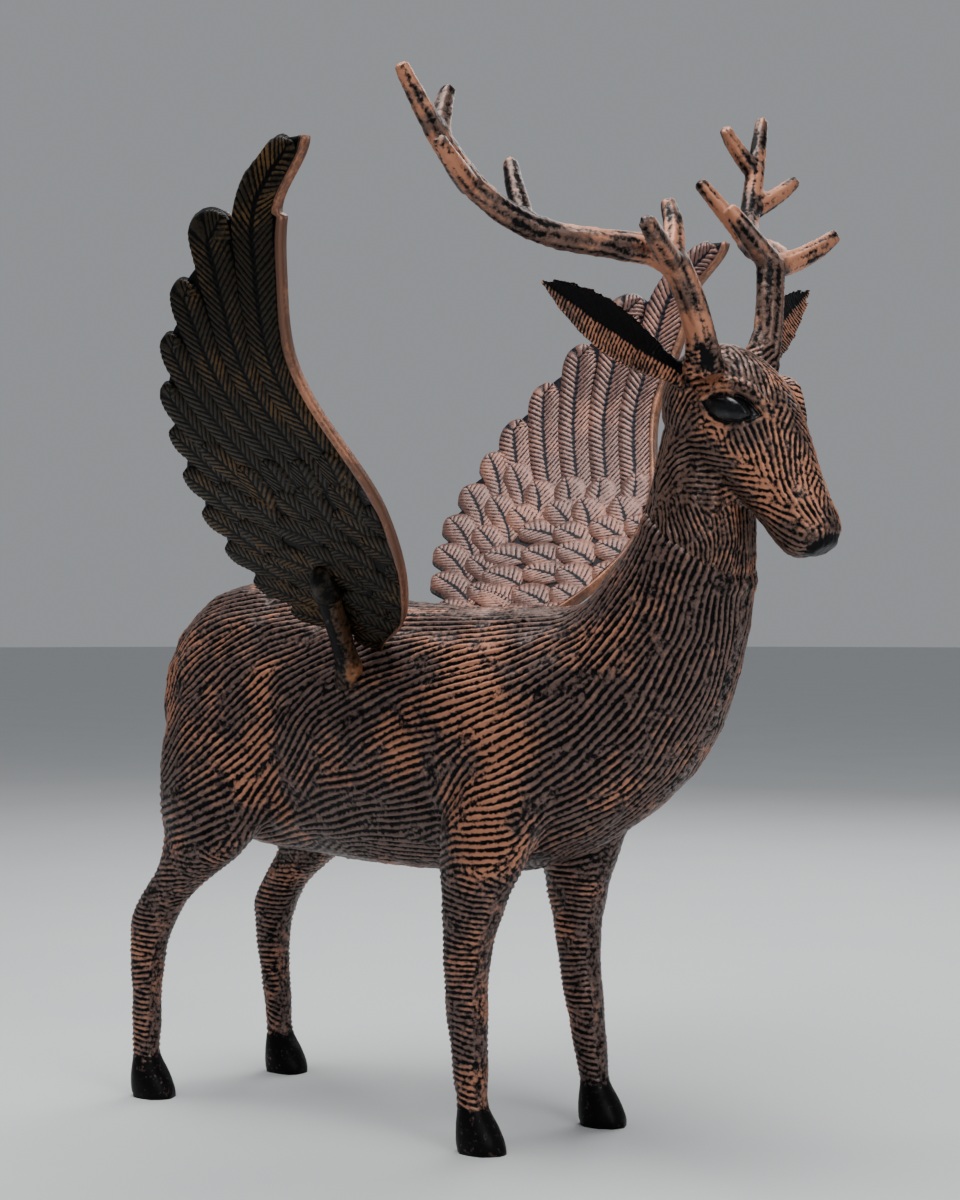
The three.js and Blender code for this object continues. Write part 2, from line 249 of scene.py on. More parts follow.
def relax(mesh: bpy.types.Mesh, rounds: int) -> None:
    """Takes the facets out of a mesh and keeps its girth, by turns of smoothing and swelling.

    Args:
        mesh: The mesh.
        rounds: How many turns.
    """
    points, _ = read(mesh)
    ends = np.empty(len(mesh.edges) * 2, np.int32)
    mesh.edges.foreach_get("vertices", ends)
    ends = ends.reshape(-1, 2)
    heads = np.concatenate([ends[:, 0], ends[:, 1]])
    tails = np.concatenate([ends[:, 1], ends[:, 0]])
    count = len(points)
    degree = np.bincount(heads, minlength=count)[:, None]
    for share in (0.5, -0.52) * rounds:
        sums = [np.bincount(heads, points[tails, axis], count) for axis in range(3)]
        points += share * (np.stack(sums, axis=1) / degree - points)
    write(mesh, points)


def smoothstep(low: float, high: float, values: Array) -> Array:
    """Rises from 0 at low to 1 at high, with soft ends; low may lie above high."""
    share = np.clip((values - low) / (high - low), 0.0, 1.0)
    return share * share * (3 - 2 * share)


def unit(vectors: Array) -> Array:
    """Scales each vector to a length of one."""
    return vectors / np.maximum(np.linalg.norm(vectors, axis=-1, keepdims=True), 1e-9)


def table(rows: tuple[tuple[float, ...], ...]) -> Callable[[float], Array]:
    """Makes a smooth curve through the rows of a table, as the solids are made.

    Args:
        rows: Rows of a position and the values there.

    Returns:
        A function from a position to the values there.
    """
    places = np.array([row[0] for row in rows], float)
    values = np.array([row[1:] for row in rows], float)

    def at(position: float) -> Array:
        """Gives the values at a position."""
        last = len(places) - 1
        i = int(np.clip(np.searchsorted(places, position, "right"), 1, last))
        start, end = places[i - 1], places[i]
        before = places[i - 2] if i > 1 else 2 * start - end
        after = places[i + 1] if i < last else 2 * end - start
        v_before = values[i - 2] if i > 1 else values[i]
        v_after = values[i + 1] if i < last else values[i - 1]
        half = (end - start) / 2
        wp, wn = half / (start - before), half / (after - end)
        p = (position - start) / (end - start)
        pp, ppp = p * p, p * p * p
        return (
            (-wp * ppp + 2 * wp * pp - wp * p) * v_before
            + ((1 + wp) * ppp + (-1.5 - 2 * wp) * pp + (-0.5 + wp) * p + 1) * values[i - 1]
            + ((-1 - wn) * ppp + (1.5 + wn) * pp + 0.5 * p) * values[i]
            + (wn * ppp - wn * pp) * v_after
        )

    return at


def cloud(points: Array, size: float, seed: int) -> Array:
    """Gives a soft random number from 0 to 1 at each point.

    Args:
        points: The points, in millimetres.
        size: The size of one blot, in millimetres.
        seed: Which pattern.

    Returns:
        A number for each point.
    """
    side = 32
    lattice = np.random.default_rng(seed).random((side, side, side))
    scaled = points / size
    corner = np.floor(scaled).astype(int)
    share = scaled - corner
    share = share * share * (3 - 2 * share)
    total = np.zeros(len(points))
    for i in range(8):
        step = np.array([i & 1, i >> 1 & 1, i >> 2])
        x, y, z = ((corner + step) % side).T
        total += lattice[x, y, z] * np.prod(np.where(step, share, 1 - share), axis=1)
    return total


def away_from(points: Array, segment: Segment) -> Array:
    """Gives each point's distance from a line between two places."""
    start, end = np.array(segment[0], float), np.array(segment[1], float)
    run = end - start
    share = np.clip((points - start) @ run / (run @ run), 0, 1)
    return np.linalg.norm(points - start - share[:, None] * run, axis=1)


def stripe(points: Array, segment: Segment, width: float) -> Array:
    """Gives 1 on a line between two places and less away from it, next to nothing two widths off."""
    return np.exp(-((away_from(points, segment) / width) ** 2))


def stripes(points: Array, rows: tuple[Stripe, ...]) -> Array:
    """Adds up stripes, each along its own line, with its width and strength."""
    return sum(strength * stripe(points, segment, width) for segment, width, strength in rows)


# ---- the combed coat -----------------------------------------------------------------------------


@dataclass
class Nearby:
    """Finds the points of a surface that lie near a place, from a grid of boxes."""

    points: Array
    box: float
    reach: int
    found: dict[tuple[int, int, int], Array] = field(default_factory=dict)

    def __post_init__(self) -> None:
        """Sorts the points into their boxes."""
        cells = np.floor(self.points / self.box).astype(int)
        order = np.lexsort(cells.T)
        ordered = cells[order]
        starts = np.flatnonzero(np.any(np.diff(ordered, axis=0), axis=1)) + 1
        groups = np.split(order, starts)
        self.boxes = {tuple(cells[group[0]]): group for group in groups}

    def around(self, place: Array) -> Array:
        """Gives the numbers of the points in the boxes around a place."""
        home = tuple(np.floor(place / self.box).astype(int))
        if home not in self.found:
            steps = range(-self.reach, self.reach + 1)
            near = [
                self.boxes[cell]
                for i in steps
                for j in steps
                for k in steps
                if (cell := (home[0] + i, home[1] + j, home[2] + k)) in self.boxes
            ]
            self.found[home] = np.concatenate(near)
        return self.found[home]


Lay = Callable[[Array, Array], tuple[Array, Array]]


@dataclass(frozen=True)
class Comb:
    """A sculptor's comb: lays strand beside strand along a flow, so that they fork and end as cut ones do."""

    reach_along: float = 22.0  # how far one stroke is felt along the strand
    reach_across: float = 7.0
    stroke_area: float = 80.0  # of surface, for each stroke
    seed: int = 7

    def strands(self, mesh: bpy.types.Mesh, lay: Lay) -> Array:
        """Combs a surface.

        Args:
            mesh: The surface.
            lay: Gives, for places and normals, the direction across the strands and their spacing.

        Returns:
            For each point, from 0 at the bottom of a groove to 1 on the crown of a strand.
        """
        points, normals = read(mesh)
        rng = np.random.default_rng(self.seed)
        count = min(len(points), int(surface_area(mesh) / self.stroke_area))
        strokes = rng.choice(len(points), count, replace=False)
        across, spacing = lay(points[strokes], normals[strokes])
        along = np.cross(normals[strokes], across)
        nearby = Nearby(points, self.reach_along, 2)
        points, normals = points.astype(np.float32), normals.astype(np.float32)
        wave = np.zeros(len(points), np.complex64)
        weight = np.full(len(points), 1e-6, np.float32)
        for k, centre in enumerate(strokes):
            near = nearby.around(points[centre])
            gap = points[near] - points[centre]
            v = gap @ across[k].astype(np.float32)
            keep = np.abs(v) < 2.6 * self.reach_across
            near, gap, v = near[keep], gap[keep], v[keep]
            u = gap @ along[k].astype(np.float32)
            facing = np.maximum(normals[near] @ normals[centre], 0)
            felt = facing * np.exp(-0.5 * ((u / self.reach_along) ** 2 + (v / self.reach_across) ** 2))
            held = abs(wave[centre]) > 0.15 * weight[centre]
            start = np.angle(wave[centre]) if held else rng.uniform(0, TURN)
            wave[near] += felt * np.exp(1j * (TURN / spacing[k] * v + start))
            weight[near] += felt
        clear = np.clip(1.6 * np.abs(wave) / weight, 0, 1)
        crown = 0.5 + 0.5 * np.cos(np.angle(wave))
        return 0.5 + (crown**0.85 - 0.5) * clear


ON_NECK = (560, 580)  # heights over which the neck begins, for what is done along its seam
NECK_SEAM = np.array([290.0, 0.0, 647.0])  # where the head is set on the neck
SEAM_AXIS = np.array([math.cos(math.radians(52)), 0.0, math.sin(math.radians(52))])


def close_seam(points: Array, reach: float) -> Array:
    """Draws a casting's rounded edge back to the seam of the neck.

    Args:
        points: The casting's points.
        reach: How far the edge is drawn, in millimetres; its sign is that of the way along the neck.

    Returns:
        The moved points.
    """
    gap = np.abs((points - NECK_SEAM) @ SEAM_AXIS)
    near = smoothstep(12.0, 1.0, gap) * smoothstep(*ON_NECK, points[:, 2])
    return points + (near * reach)[:, None] * SEAM_AXIS


@dataclass(frozen=True)
class Guide:
    """How the coat lies at one place on the right side: x, distance out and height, then the direction."""

    at: Point
    lie: Point


def flow(points: Array, guides: tuple[Guide, ...], soft: float) -> Array:
    """Blends the directions of guides, the nearest counting most.

    Args:
        points: Places on the right side.
        guides: The guides.
        soft: How far a guide's own place reaches, in millimetres.

    Returns:
        A direction for each place.
    """
    places = np.array([guide.at for guide in guides])
    lies = unit(np.array([guide.lie for guide in guides]))
    square = ((points[:, None, :] - places) ** 2).sum(axis=2)
    weight = 1 / (square + soft**2) ** 2
    return (weight @ lies) / weight.sum(axis=1, keepdims=True)


# ---- finishes ------------------------------------------------------------------------------------


def linear(shade: str) -> tuple[float, float, float, float]:
    """Turns an sRGB hex colour to linear light, with full cover."""
    parts = [int(shade[i : i + 2], 16) / 255 for i in (1, 3, 5)]
    light = [p / 12.92 if p <= 0.04045 else ((p + 0.055) / 1.055) ** 2.4 for p in parts]
    return (*light, 1.0)


Tree = bpy.types.NodeTree
Socket = bpy.types.NodeSocket

# kinds of node and settings that the trees use again and again
ATTRIBUTE = "GeometryNodeInputNamedAttribute"
BUMP = "ShaderNodeBump"
MATH = "ShaderNodeMath"
MIX = "ShaderNodeMix"
NOISE = "ShaderNodeTexNoise"
RAMP = "ShaderNodeMapRange"
SOFT = {"interpolation_type": "SMOOTHSTEP"}
STORE = "GeometryNodeStoreNamedAttribute"
SUM = {"operation": "MULTIPLY_ADD"}
TIMES = {"operation": "MULTIPLY"}


def add(
    tree: Tree, kind: str, inputs: dict | None = None, output: int | str = 0, **settings: object
) -> Socket | None:
    """Adds a node to a tree with its settings and links.

    Args:
        tree: The tree.
        kind: The node's kind.
        inputs: For a socket's name or number, a value or the socket that feeds it.
        output: The name or number of the output that is wanted.
        **settings: The node's own settings.

    Returns:
        That output, or None for a node without one.
    """
    node = tree.nodes.new(kind)
    for name, value in settings.items():
        setattr(node, name, value)
    for key, value in (inputs or {}).items():
        if isinstance(value, Socket):
            tree.links.new(value, node.inputs[key])
        else:
            node.inputs[key].default_value = value
    return node.outputs[output] if node.outputs else None


@dataclass(frozen=True)
class CastFinish:
    """Blackened cast metal with copper paint rubbed over its high points; painted shade, where a piece
    carries it, holds the copper back.

    The hollows stay blue-black and satin. A thin brown haze of the paint lies on the crowns of the carving,
    and where the wiping cloth pressed it shows as bright, broken copper.
    """

    name: str
    ground: str  # in the hollows
    haze: str  # on the crowns
    copper: str  # where the cloth pressed
    reach: float  # relief from which the haze shows
    press: float  # how readily the copper shows, 0 to 1
    patch: float = 70.0  # size of a patch, in millimetres
    fleck: float = 4.5  # size of the breaks in the copper
    grain: float = 1.1  # grain of the casting sand
    shine: float = 0.5  # how much the crowns mirror the sky

    def build(self) -> bpy.types.Material:
        """Makes the material."""
        material = bpy.data.materials.new(self.name)
        material.use_nodes = True
        material.node_tree.nodes.clear()
        put = partial(add, material.node_tree)
        place = put("ShaderNodeTexCoord", output="Object")
        patch, fleck, grain = [
            put(NOISE, {"Vector": place, "Scale": 1 / (size * MM), "Detail": detail, "Roughness": 0.6}, "Fac")
            for size, detail in ((self.patch, 3.0), (self.fleck, 4.0), (self.grain, 2.0))
        ]
        relief, wiped_and_shade, gloss = [
            put("ShaderNodeAttribute", output="Fac", attribute_name=name)
            for name in ("relief", "wiped_and_shade", "gloss")
        ]
        broken = put(MATH, {0: fleck, 1: 1.5, 2: -0.75}, **SUM)
        height = put(MATH, {0: broken, 1: relief}, operation="ADD")
        haze = put(RAMP, {"Value": height, "From Min": self.reach, "From Max": self.reach + 0.5}, **SOFT)
        # copper: where patches, the cloth's own track and height add up, and on the crowns alone; painted
        # shade laid into the same attribute takes copper away
        pressed = put(MATH, {0: patch, 1: 2.4, 2: self.press - 1.75}, **SUM)
        pressed = put(MATH, {0: wiped_and_shade, 1: 0.75, 2: pressed}, **SUM)
        pressed = put(MATH, {0: height, 1: 0.8, 2: pressed}, **SUM)
        pressed = put(RAMP, {"Value": pressed, "From Min": 0.35, "From Max": 0.95}, **SOFT)
        crown = put(RAMP, {"Value": height, "From Min": 0.3, "From Max": 0.75}, **SOFT)
        copper = put(MATH, {0: pressed, 1: crown}, **TIMES)
        colour = linear(self.ground)
        for share, shade in ((haze, self.haze), (copper, self.copper), (gloss, EYE_BLACK)):
            colour = put(MIX, {0: share, 6: colour, 7: linear(shade)}, 2, data_type="RGBA")
        satin = put(RAMP, {"Value": copper, "To Min": 0.4, "To Max": 0.52})
        matt = put(RAMP, {"Value": haze, "To Min": 0.08, "To Max": self.shine})
        rough = put(BUMP, {"Strength": 0.6, "Distance": 0.6 * MM, "Height": fleck})
        surface = {
            "Base Color": colour,
            "Metallic": put(RAMP, {"Value": haze, "To Max": 0.9 * self.shine}),
            "Roughness": put(RAMP, {"Value": gloss, "To Min": satin, "To Max": 0.16}),
            "Specular IOR Level": put(RAMP, {"Value": gloss, "To Min": matt, "To Max": 0.5}),
            "Normal": put(BUMP, {"Strength": 0.4, "Distance": 0.3 * MM, "Height": grain, "Normal": rough}),
        }
        put("ShaderNodeOutputMaterial", {"Surface": put("ShaderNodeBsdfPrincipled", surface)})
        return material


EYE_BLACK = "#101114"  # the polished eyes, which gather a small sharp light

# body: warm grey-brown strands over black grooves, copper where the flank and the legs were rubbed
COAT = CastFinish("blackened_cast_metal_coat", "#070708", "#665049", "#b0765a", 0.32, 0.3)
# head: the same, rubbed harder, so that brow, cheek and antlers come out copper
FACE = CastFinish("blackened_cast_metal_head", "#08080a", "#6b5146", "#b97c5e", 0.28, 0.42)
# outside of the wings: nearly black as painted shade, a darker copy of the inside's finish, with dull
# olive-brown barbs that mirror little
OUTER_SHADED = CastFinish(
    "blackened_cast_metal_wing_outside", "#030303", "#241c10", "#5a4122", 0.38, 0.22, shine=0.18
)
# inside of the wings: rubbed evenly, pale pinkish brown with blue-black quills
INNER = CastFinish("blackened_cast_metal_wing_inside", "#15151d", "#6c4f47", "#9a6c5c", 0.25, 0.35)
# leading rim: a smooth edge that every cloth has touched, plain copper-brown
RIM = CastFinish("blackened_cast_metal_wing_rim", "#0c0b0e", "#6a4838", "#a87256", 0.15, 0.35)
# strut: dark, with copper on its one flat side and its rough foot
PROP = CastFinish("blackened_cast_metal_strut", "#070709", "#4a3422", "#8a5a3a", 0.4, 0.2)


# ---- the castings --------------------------------------------------------------------------------


@dataclass
class Casting:
    """A casting of the sculpture: takes its form from a node of the frame and carves it finer."""

    node: str
    slot: str
    finish: CastFinish
    voxel: float  # of the form's first net, in millimetres
    rounds: int  # of relaxing, to take its facets out
    levels: int  # of finer nets
    triangles: int  # at most

    def form(self) -> bpy.types.Object:
        """Makes the smooth form, as a fine even net."""
        piece = welded_copy(self.node, f"{self.node}_carved")
        reshape(piece, "REMESH", mode="VOXEL", voxel_size=self.voxel * MM, adaptivity=0.0)
        drop_crumbs(piece.data)
        relax(piece.data, self.rounds)
        if self.levels:
            reshape(piece, "SUBSURF", levels=self.levels, render_levels=self.levels)
        return piece

    def carve(self, mesh: bpy.types.Mesh) -> None:
        """Carves the form; each casting does it in its own way."""

    def build(self) -> bpy.types.Object:
        """Makes the casting, finished and riding on the frame."""
        piece = self.form()
        self.carve(piece.data)
        count = sum(len(polygon.vertices) - 2 for polygon in piece.data.polygons)
        if count > self.triangles:
            reshape(piece, "DECIMATE", ratio=self.triangles / count)
        return self.dress(piece)

    def dress(self, piece: bpy.types.Object) -> bpy.types.Object:
        """Gives a piece its finish and its place in the frame."""
        piece.data.materials.clear()
        piece.data.materials.append(self.finish.build())
        piece.data.shade_smooth()
        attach(piece, BODY)
        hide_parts(self.node)
        log.info("%s: %d faces", piece.name, len(piece.data.polygons))
        return piece


def mirrored(points: Array, vectors: Array, middle: float | Array) -> tuple[Array, Array, Array]:
    """Folds places and directions over to the right side.

    Args:
        points: Places.
        vectors: A direction at each.
        middle: The y of the middle plane.

    Returns:
        The places as x, distance out and height, the directions likewise, and the sign of each place's side.
    """
    out = points[:, 1] - middle
    side = np.where(out < 0, -1.0, 1.0)
    folded = points.copy()
    folded[:, 1] = np.abs(out)
    turned = vectors.copy()
    turned[:, 1] *= side
    return folded, turned, side


def stray(points: Array, normals: Array, across: Array, swing: Array | float, seed: int) -> Array:
    """Lets the strands wander a little, as cut by hand.

    Args:
        points: Places.
        normals: The surface's normals there.
        across: The direction across the strands.
        swing: The widest turn, in radians.
        seed: Which pattern.

    Returns:
        The turned directions.
    """
    turn = ((cloud(points, 30.0, seed) - 0.5) * 3 * swing)[:, None]
    return across * np.cos(turn) + np.cross(normals, across) * np.sin(turn)


def across_flow(lie: Array, normals: Array) -> Array:
    """Turns the coat's direction to the one across it, on the surface."""
    return unit(np.cross(normals, lie))


@dataclass
class StagBody(Casting):
    """Trunk, neck and legs, combed from the neck down to the hooves."""

    node: str = "deer_body"
    slot: str = "body_finish"
    finish: CastFinish = COAT
    voxel: float = 7.0
    rounds: int = 14
    levels: int = 2
    triangles: int = 196000
    trunk_spacing: float = 8.6  # from strand to strand
    neck_spacing: float = 7.4
    leg_spacing: float = 6.4
    trunk_depth: float = 3.1
    leg_depth: float = 2.1
    thinning: tuple[float, float] = (330.0, 230.0)  # heights over which the strands get shallower
    shin: tuple[float, float] = (310.0, 270.0)  # heights over which the bare strip of the shins begins
    hoof: tuple[float, float] = (52.0, 42.0)  # heights over which the coat ends in the smooth hoof
    chest: tuple[float, float] = (330.0, 370.0)  # heights over which the rough strip of the chest begins
    beads: float = 6.0  # height of the lumps in that strip
    grain: float = 1.1  # height of the casting's grain
    ledge: float = 1.8  # the neck's edge stands up this far at the seam
    drawn: float = 2.4  # and is drawn this far back to it
    sole: float = 3.0  # what lies lower than this is set flat on the ground
    guides: tuple[Guide, ...] = (
        # the back, from the rump to the neck
        Guide((-436, 0, 540), (-0.3, 0, -1)),
        Guide((-380, 0, 600), (-1, 0, -0.3)),
        Guide((-300, 40, 600), (-1, 0.1, -0.1)),
        Guide((-150, 30, 595), (-1, 0.15, 0)),
        Guide((0, 30, 583), (-1, 0.2, 0)),
        Guide((100, 30, 585), (-1, 0.1, -0.1)),
        Guide((170, 25, 610), (-0.9, 0, -0.5)),
        Guide((230, 30, 690), (-0.4, 0, -1)),
        Guide((265, 30, 780), (-0.25, 0, -1)),
        # haunch
        Guide((-250, 100, 560), (-1, 0.1, -0.4)),
        Guide((-340, 100, 550), (-1, 0.1, -0.6)),
        Guide((-410, 70, 540), (-0.5, 0.2, -1)),
        Guide((-300, 118, 490), (-0.9, 0, -0.75)),
        Guide((-240, 118, 470), (-0.9, 0, -0.8)),
        Guide((-380, 110, 480), (-0.45, 0, -1)),
        Guide((-430, 50, 480), (-0.1, 0.2, -1)),
        Guide((-310, 118, 420), (-0.9, 0, -0.8)),
        Guide((-245, 118, 400), (-0.9, 0, -0.85)),
        Guide((-385, 112, 410), (-0.7, 0, -0.75)),
        Guide((-300, 112, 350), (-1, 0, -0.4)),
        Guide((-380, 110, 350), (-1, 0, -0.3)),
        Guide((-330, 105, 290), (-1, 0, -0.15)),
        Guide((-400, 100, 260), (-1, 0, -0.5)),
        # flank behind the ribs, where the coat sweeps into the crease
        Guide((-185, 118, 500), (-1, 0, -0.65)),
        Guide((-190, 120, 440), (-0.8, 0, -1)),
        Guide((-190, 120, 380), (-0.75, 0, -1)),
        Guide((-180, 112, 335), (-1, 0, -0.4)),
        # ribs and belly
        Guide((-100, 118, 520), (-1, 0, -0.5)),
        Guide((0, 116, 520), (-1, 0, -0.45)),
        Guide((-100, 121, 440), (-1, 0, -0.5)),
        Guide((0, 121, 430), (-1, 0, -0.35)),
        Guide((-100, 116, 370), (-1, 0, -0.25)),
        Guide((-10, 115, 350), (-1, 0, -0.3)),
        Guide((-60, 70, 295), (-1, 0, 0)),
        Guide((-60, 20, 284), (-1, 0, 0)),
        # shoulder
        Guide((90, 112, 530), (-1, 0, -0.3)),
        Guide((90, 118, 470), (-1, 0, -0.4)),
        Guide((90, 116, 410), (-1, 0, -0.4)),
        Guide((40, 116, 390), (-0.8, 0, -0.8)),
        Guide((95, 110, 350), (-1, 0, -0.2)),
        Guide((90, 105, 300), (-1, 0, -0.05)),
        Guide((150, 105, 560), (-1, 0, -0.5)),
        Guide((160, 110, 490), (-1, 0, -0.7)),
        Guide((160, 105, 420), (-1, 0, -0.55)),
        # neck and chest
        Guide((215, 95, 580), (-0.6, 0, -1)),
        Guide((240, 80, 650), (-0.35, 0, -1)),
        Guide((285, 68, 640), (-0.3, 0, -1)),
        Guide((290, 72, 580), (-0.35, 0, -1)),
        Guide((240, 95, 500), (-0.75, 0, -1)),
        Guide((300, 50, 520), (-0.5, 0, -1)),
        Guide((270, 60, 440), (-0.9, 0, -0.9)),
        Guide((210, 90, 410), (-1, 0, -0.7)),
        Guide((180, 60, 350), (-1, 0, -0.3)),
        Guide((345, 15, 620), (-0.3, 0, -1)),
        Guide((330, 15, 520), (-0.3, 0, -1)),
        Guide((290, 15, 430), (-0.8, 0, -0.8)),
        Guide((200, 15, 350), (-1, 0, -0.3)),
    )
    wiped_and_shade: tuple[Stripe, ...] = (
        (((-228, 120, 505), (-226, 118, 370)), 26.0, 0.9),
        (((60, 116, 545), (95, 116, 500)), 44.0, 0.7),
        (((104, 116, 440), (96, 112, 330)), 38.0, 0.9),
        (((-30, 122, 455), (-15, 122, 420)), 22.0, 0.6),
        (((30, 110, 570), (-10, 105, 570)), 34.0, 0.5),
        (((-400, 100, 260), (-400, 100, 90)), 40.0, 0.4),
        (((75, 96, 270), (75, 96, 90)), 50.0, 0.4),
        # these last two rows, of negative strength, are painted shade: less copper below the wing's root and
        # along the lower belly
        (((-60, 112, 560), (-110, 115, 530)), 34.0, -0.9),
        (((-150, 100, 330), (20, 100, 320)), 34.0, -0.8),
    )
    creases: tuple[Stripe, ...] = (
        (((-207, 126, 505), (-206, 122, 400)), 9.0, 4.0),
        (((-206, 122, 400), (-214, 116, 330)), 11.0, 7.0),
        (((2, 124, 395), (14, 116, 325)), 8.0, 4.0),
    )

    def aside(self, heights: Array) -> Array:
        """Gives how far the neck's middle has moved to the right, at each height."""
        return -16 * smoothstep(520, 760, heights)

    def lay(self, points: Array, normals: Array) -> tuple[Array, Array]:
        """Gives the direction across the strands and their spacing at each place."""
        folded, turned, side = mirrored(points, normals, self.aside(points[:, 2]))
        on_trunk = across_flow(flow(folded, self.guides, 14.0), turned)
        height = folded[:, 2]
        tilt = np.stack([-0.35 * smoothstep(170, 90, height), 0 * height, -np.ones(len(height))], axis=1)
        on_leg = unit(tilt - (tilt * turned).sum(axis=1, keepdims=True) * turned)
        share = smoothstep(330, 265, height)[:, None]
        across = unit(on_trunk * (1 - share) + on_leg * share)
        across -= (across * turned).sum(axis=1, keepdims=True) * turned
        across = stray(folded, turned, unit(across), 0.14 + 0.04 * share[:, 0], 41)
        across[:, 1] *= side
        neck = smoothstep(200, 290, folded[:, 0]) * smoothstep(430, 560, height)
        spacing = self.trunk_spacing + (self.neck_spacing - self.trunk_spacing) * neck
        spacing += (self.leg_spacing - self.trunk_spacing) * share[:, 0]
        return across, spacing

    def carve(self, mesh: bpy.types.Mesh) -> None:
        """Cuts the creases, the combed coat, the rough strip down the chest and the hooves' edges."""
        strand = Comb(seed=11).strands(mesh, self.lay)
        points, normals = read(mesh)
        folded, turned, _ = mirrored(points, normals, self.aside(points[:, 2]))
        forward = turned[:, 0]
        _, out, height = folded.T
        depth = self.trunk_depth + (self.leg_depth - self.trunk_depth) * smoothstep(*self.thinning, height)
        shin = smoothstep(0.72, 0.88, forward) * smoothstep(*self.shin, height)
        hoof = smoothstep(*self.hoof, height)
        beads = smoothstep(11, 6, out) * smoothstep(0.25, 0.5, forward) * smoothstep(*self.chest, height)
        quiet = np.maximum(np.maximum(shin * 0.9, hoof), beads)
        rough = cloud(points, 3.4, 5) * 0.6 + cloud(points, 6.5, 6) * 0.4
        grain = cloud(points, 4.0, 8) - 0.5
        depth *= 0.6 + 0.8 * cloud(points, 16.0, 9)
        rise = (strand - 0.6) * depth * (1 - quiet) + self.beads * beads * (rough - 0.6)
        rise += self.grain * grain * (1 - hoof) - stripes(folded, self.creases)
        gap = np.abs((points - NECK_SEAM) @ SEAM_AXIS)
        rise += self.ledge * smoothstep(16, 9, gap) * smoothstep(*ON_NECK, points[:, 2])
        points = close_seam(points + normals * rise[:, None], self.drawn)
        points[:, 2] = np.where(points[:, 2] < self.sole, 0.0, points[:, 2])
        write(mesh, points)
        relief = strand * (1 - quiet) + quiet * 0.55 - hoof * 0.35 + beads * (rough - 0.5) + 0.5 * grain
        store(mesh, "relief", relief)
        store(mesh, "wiped_and_shade", stripes(folded, self.wiped_and_shade))


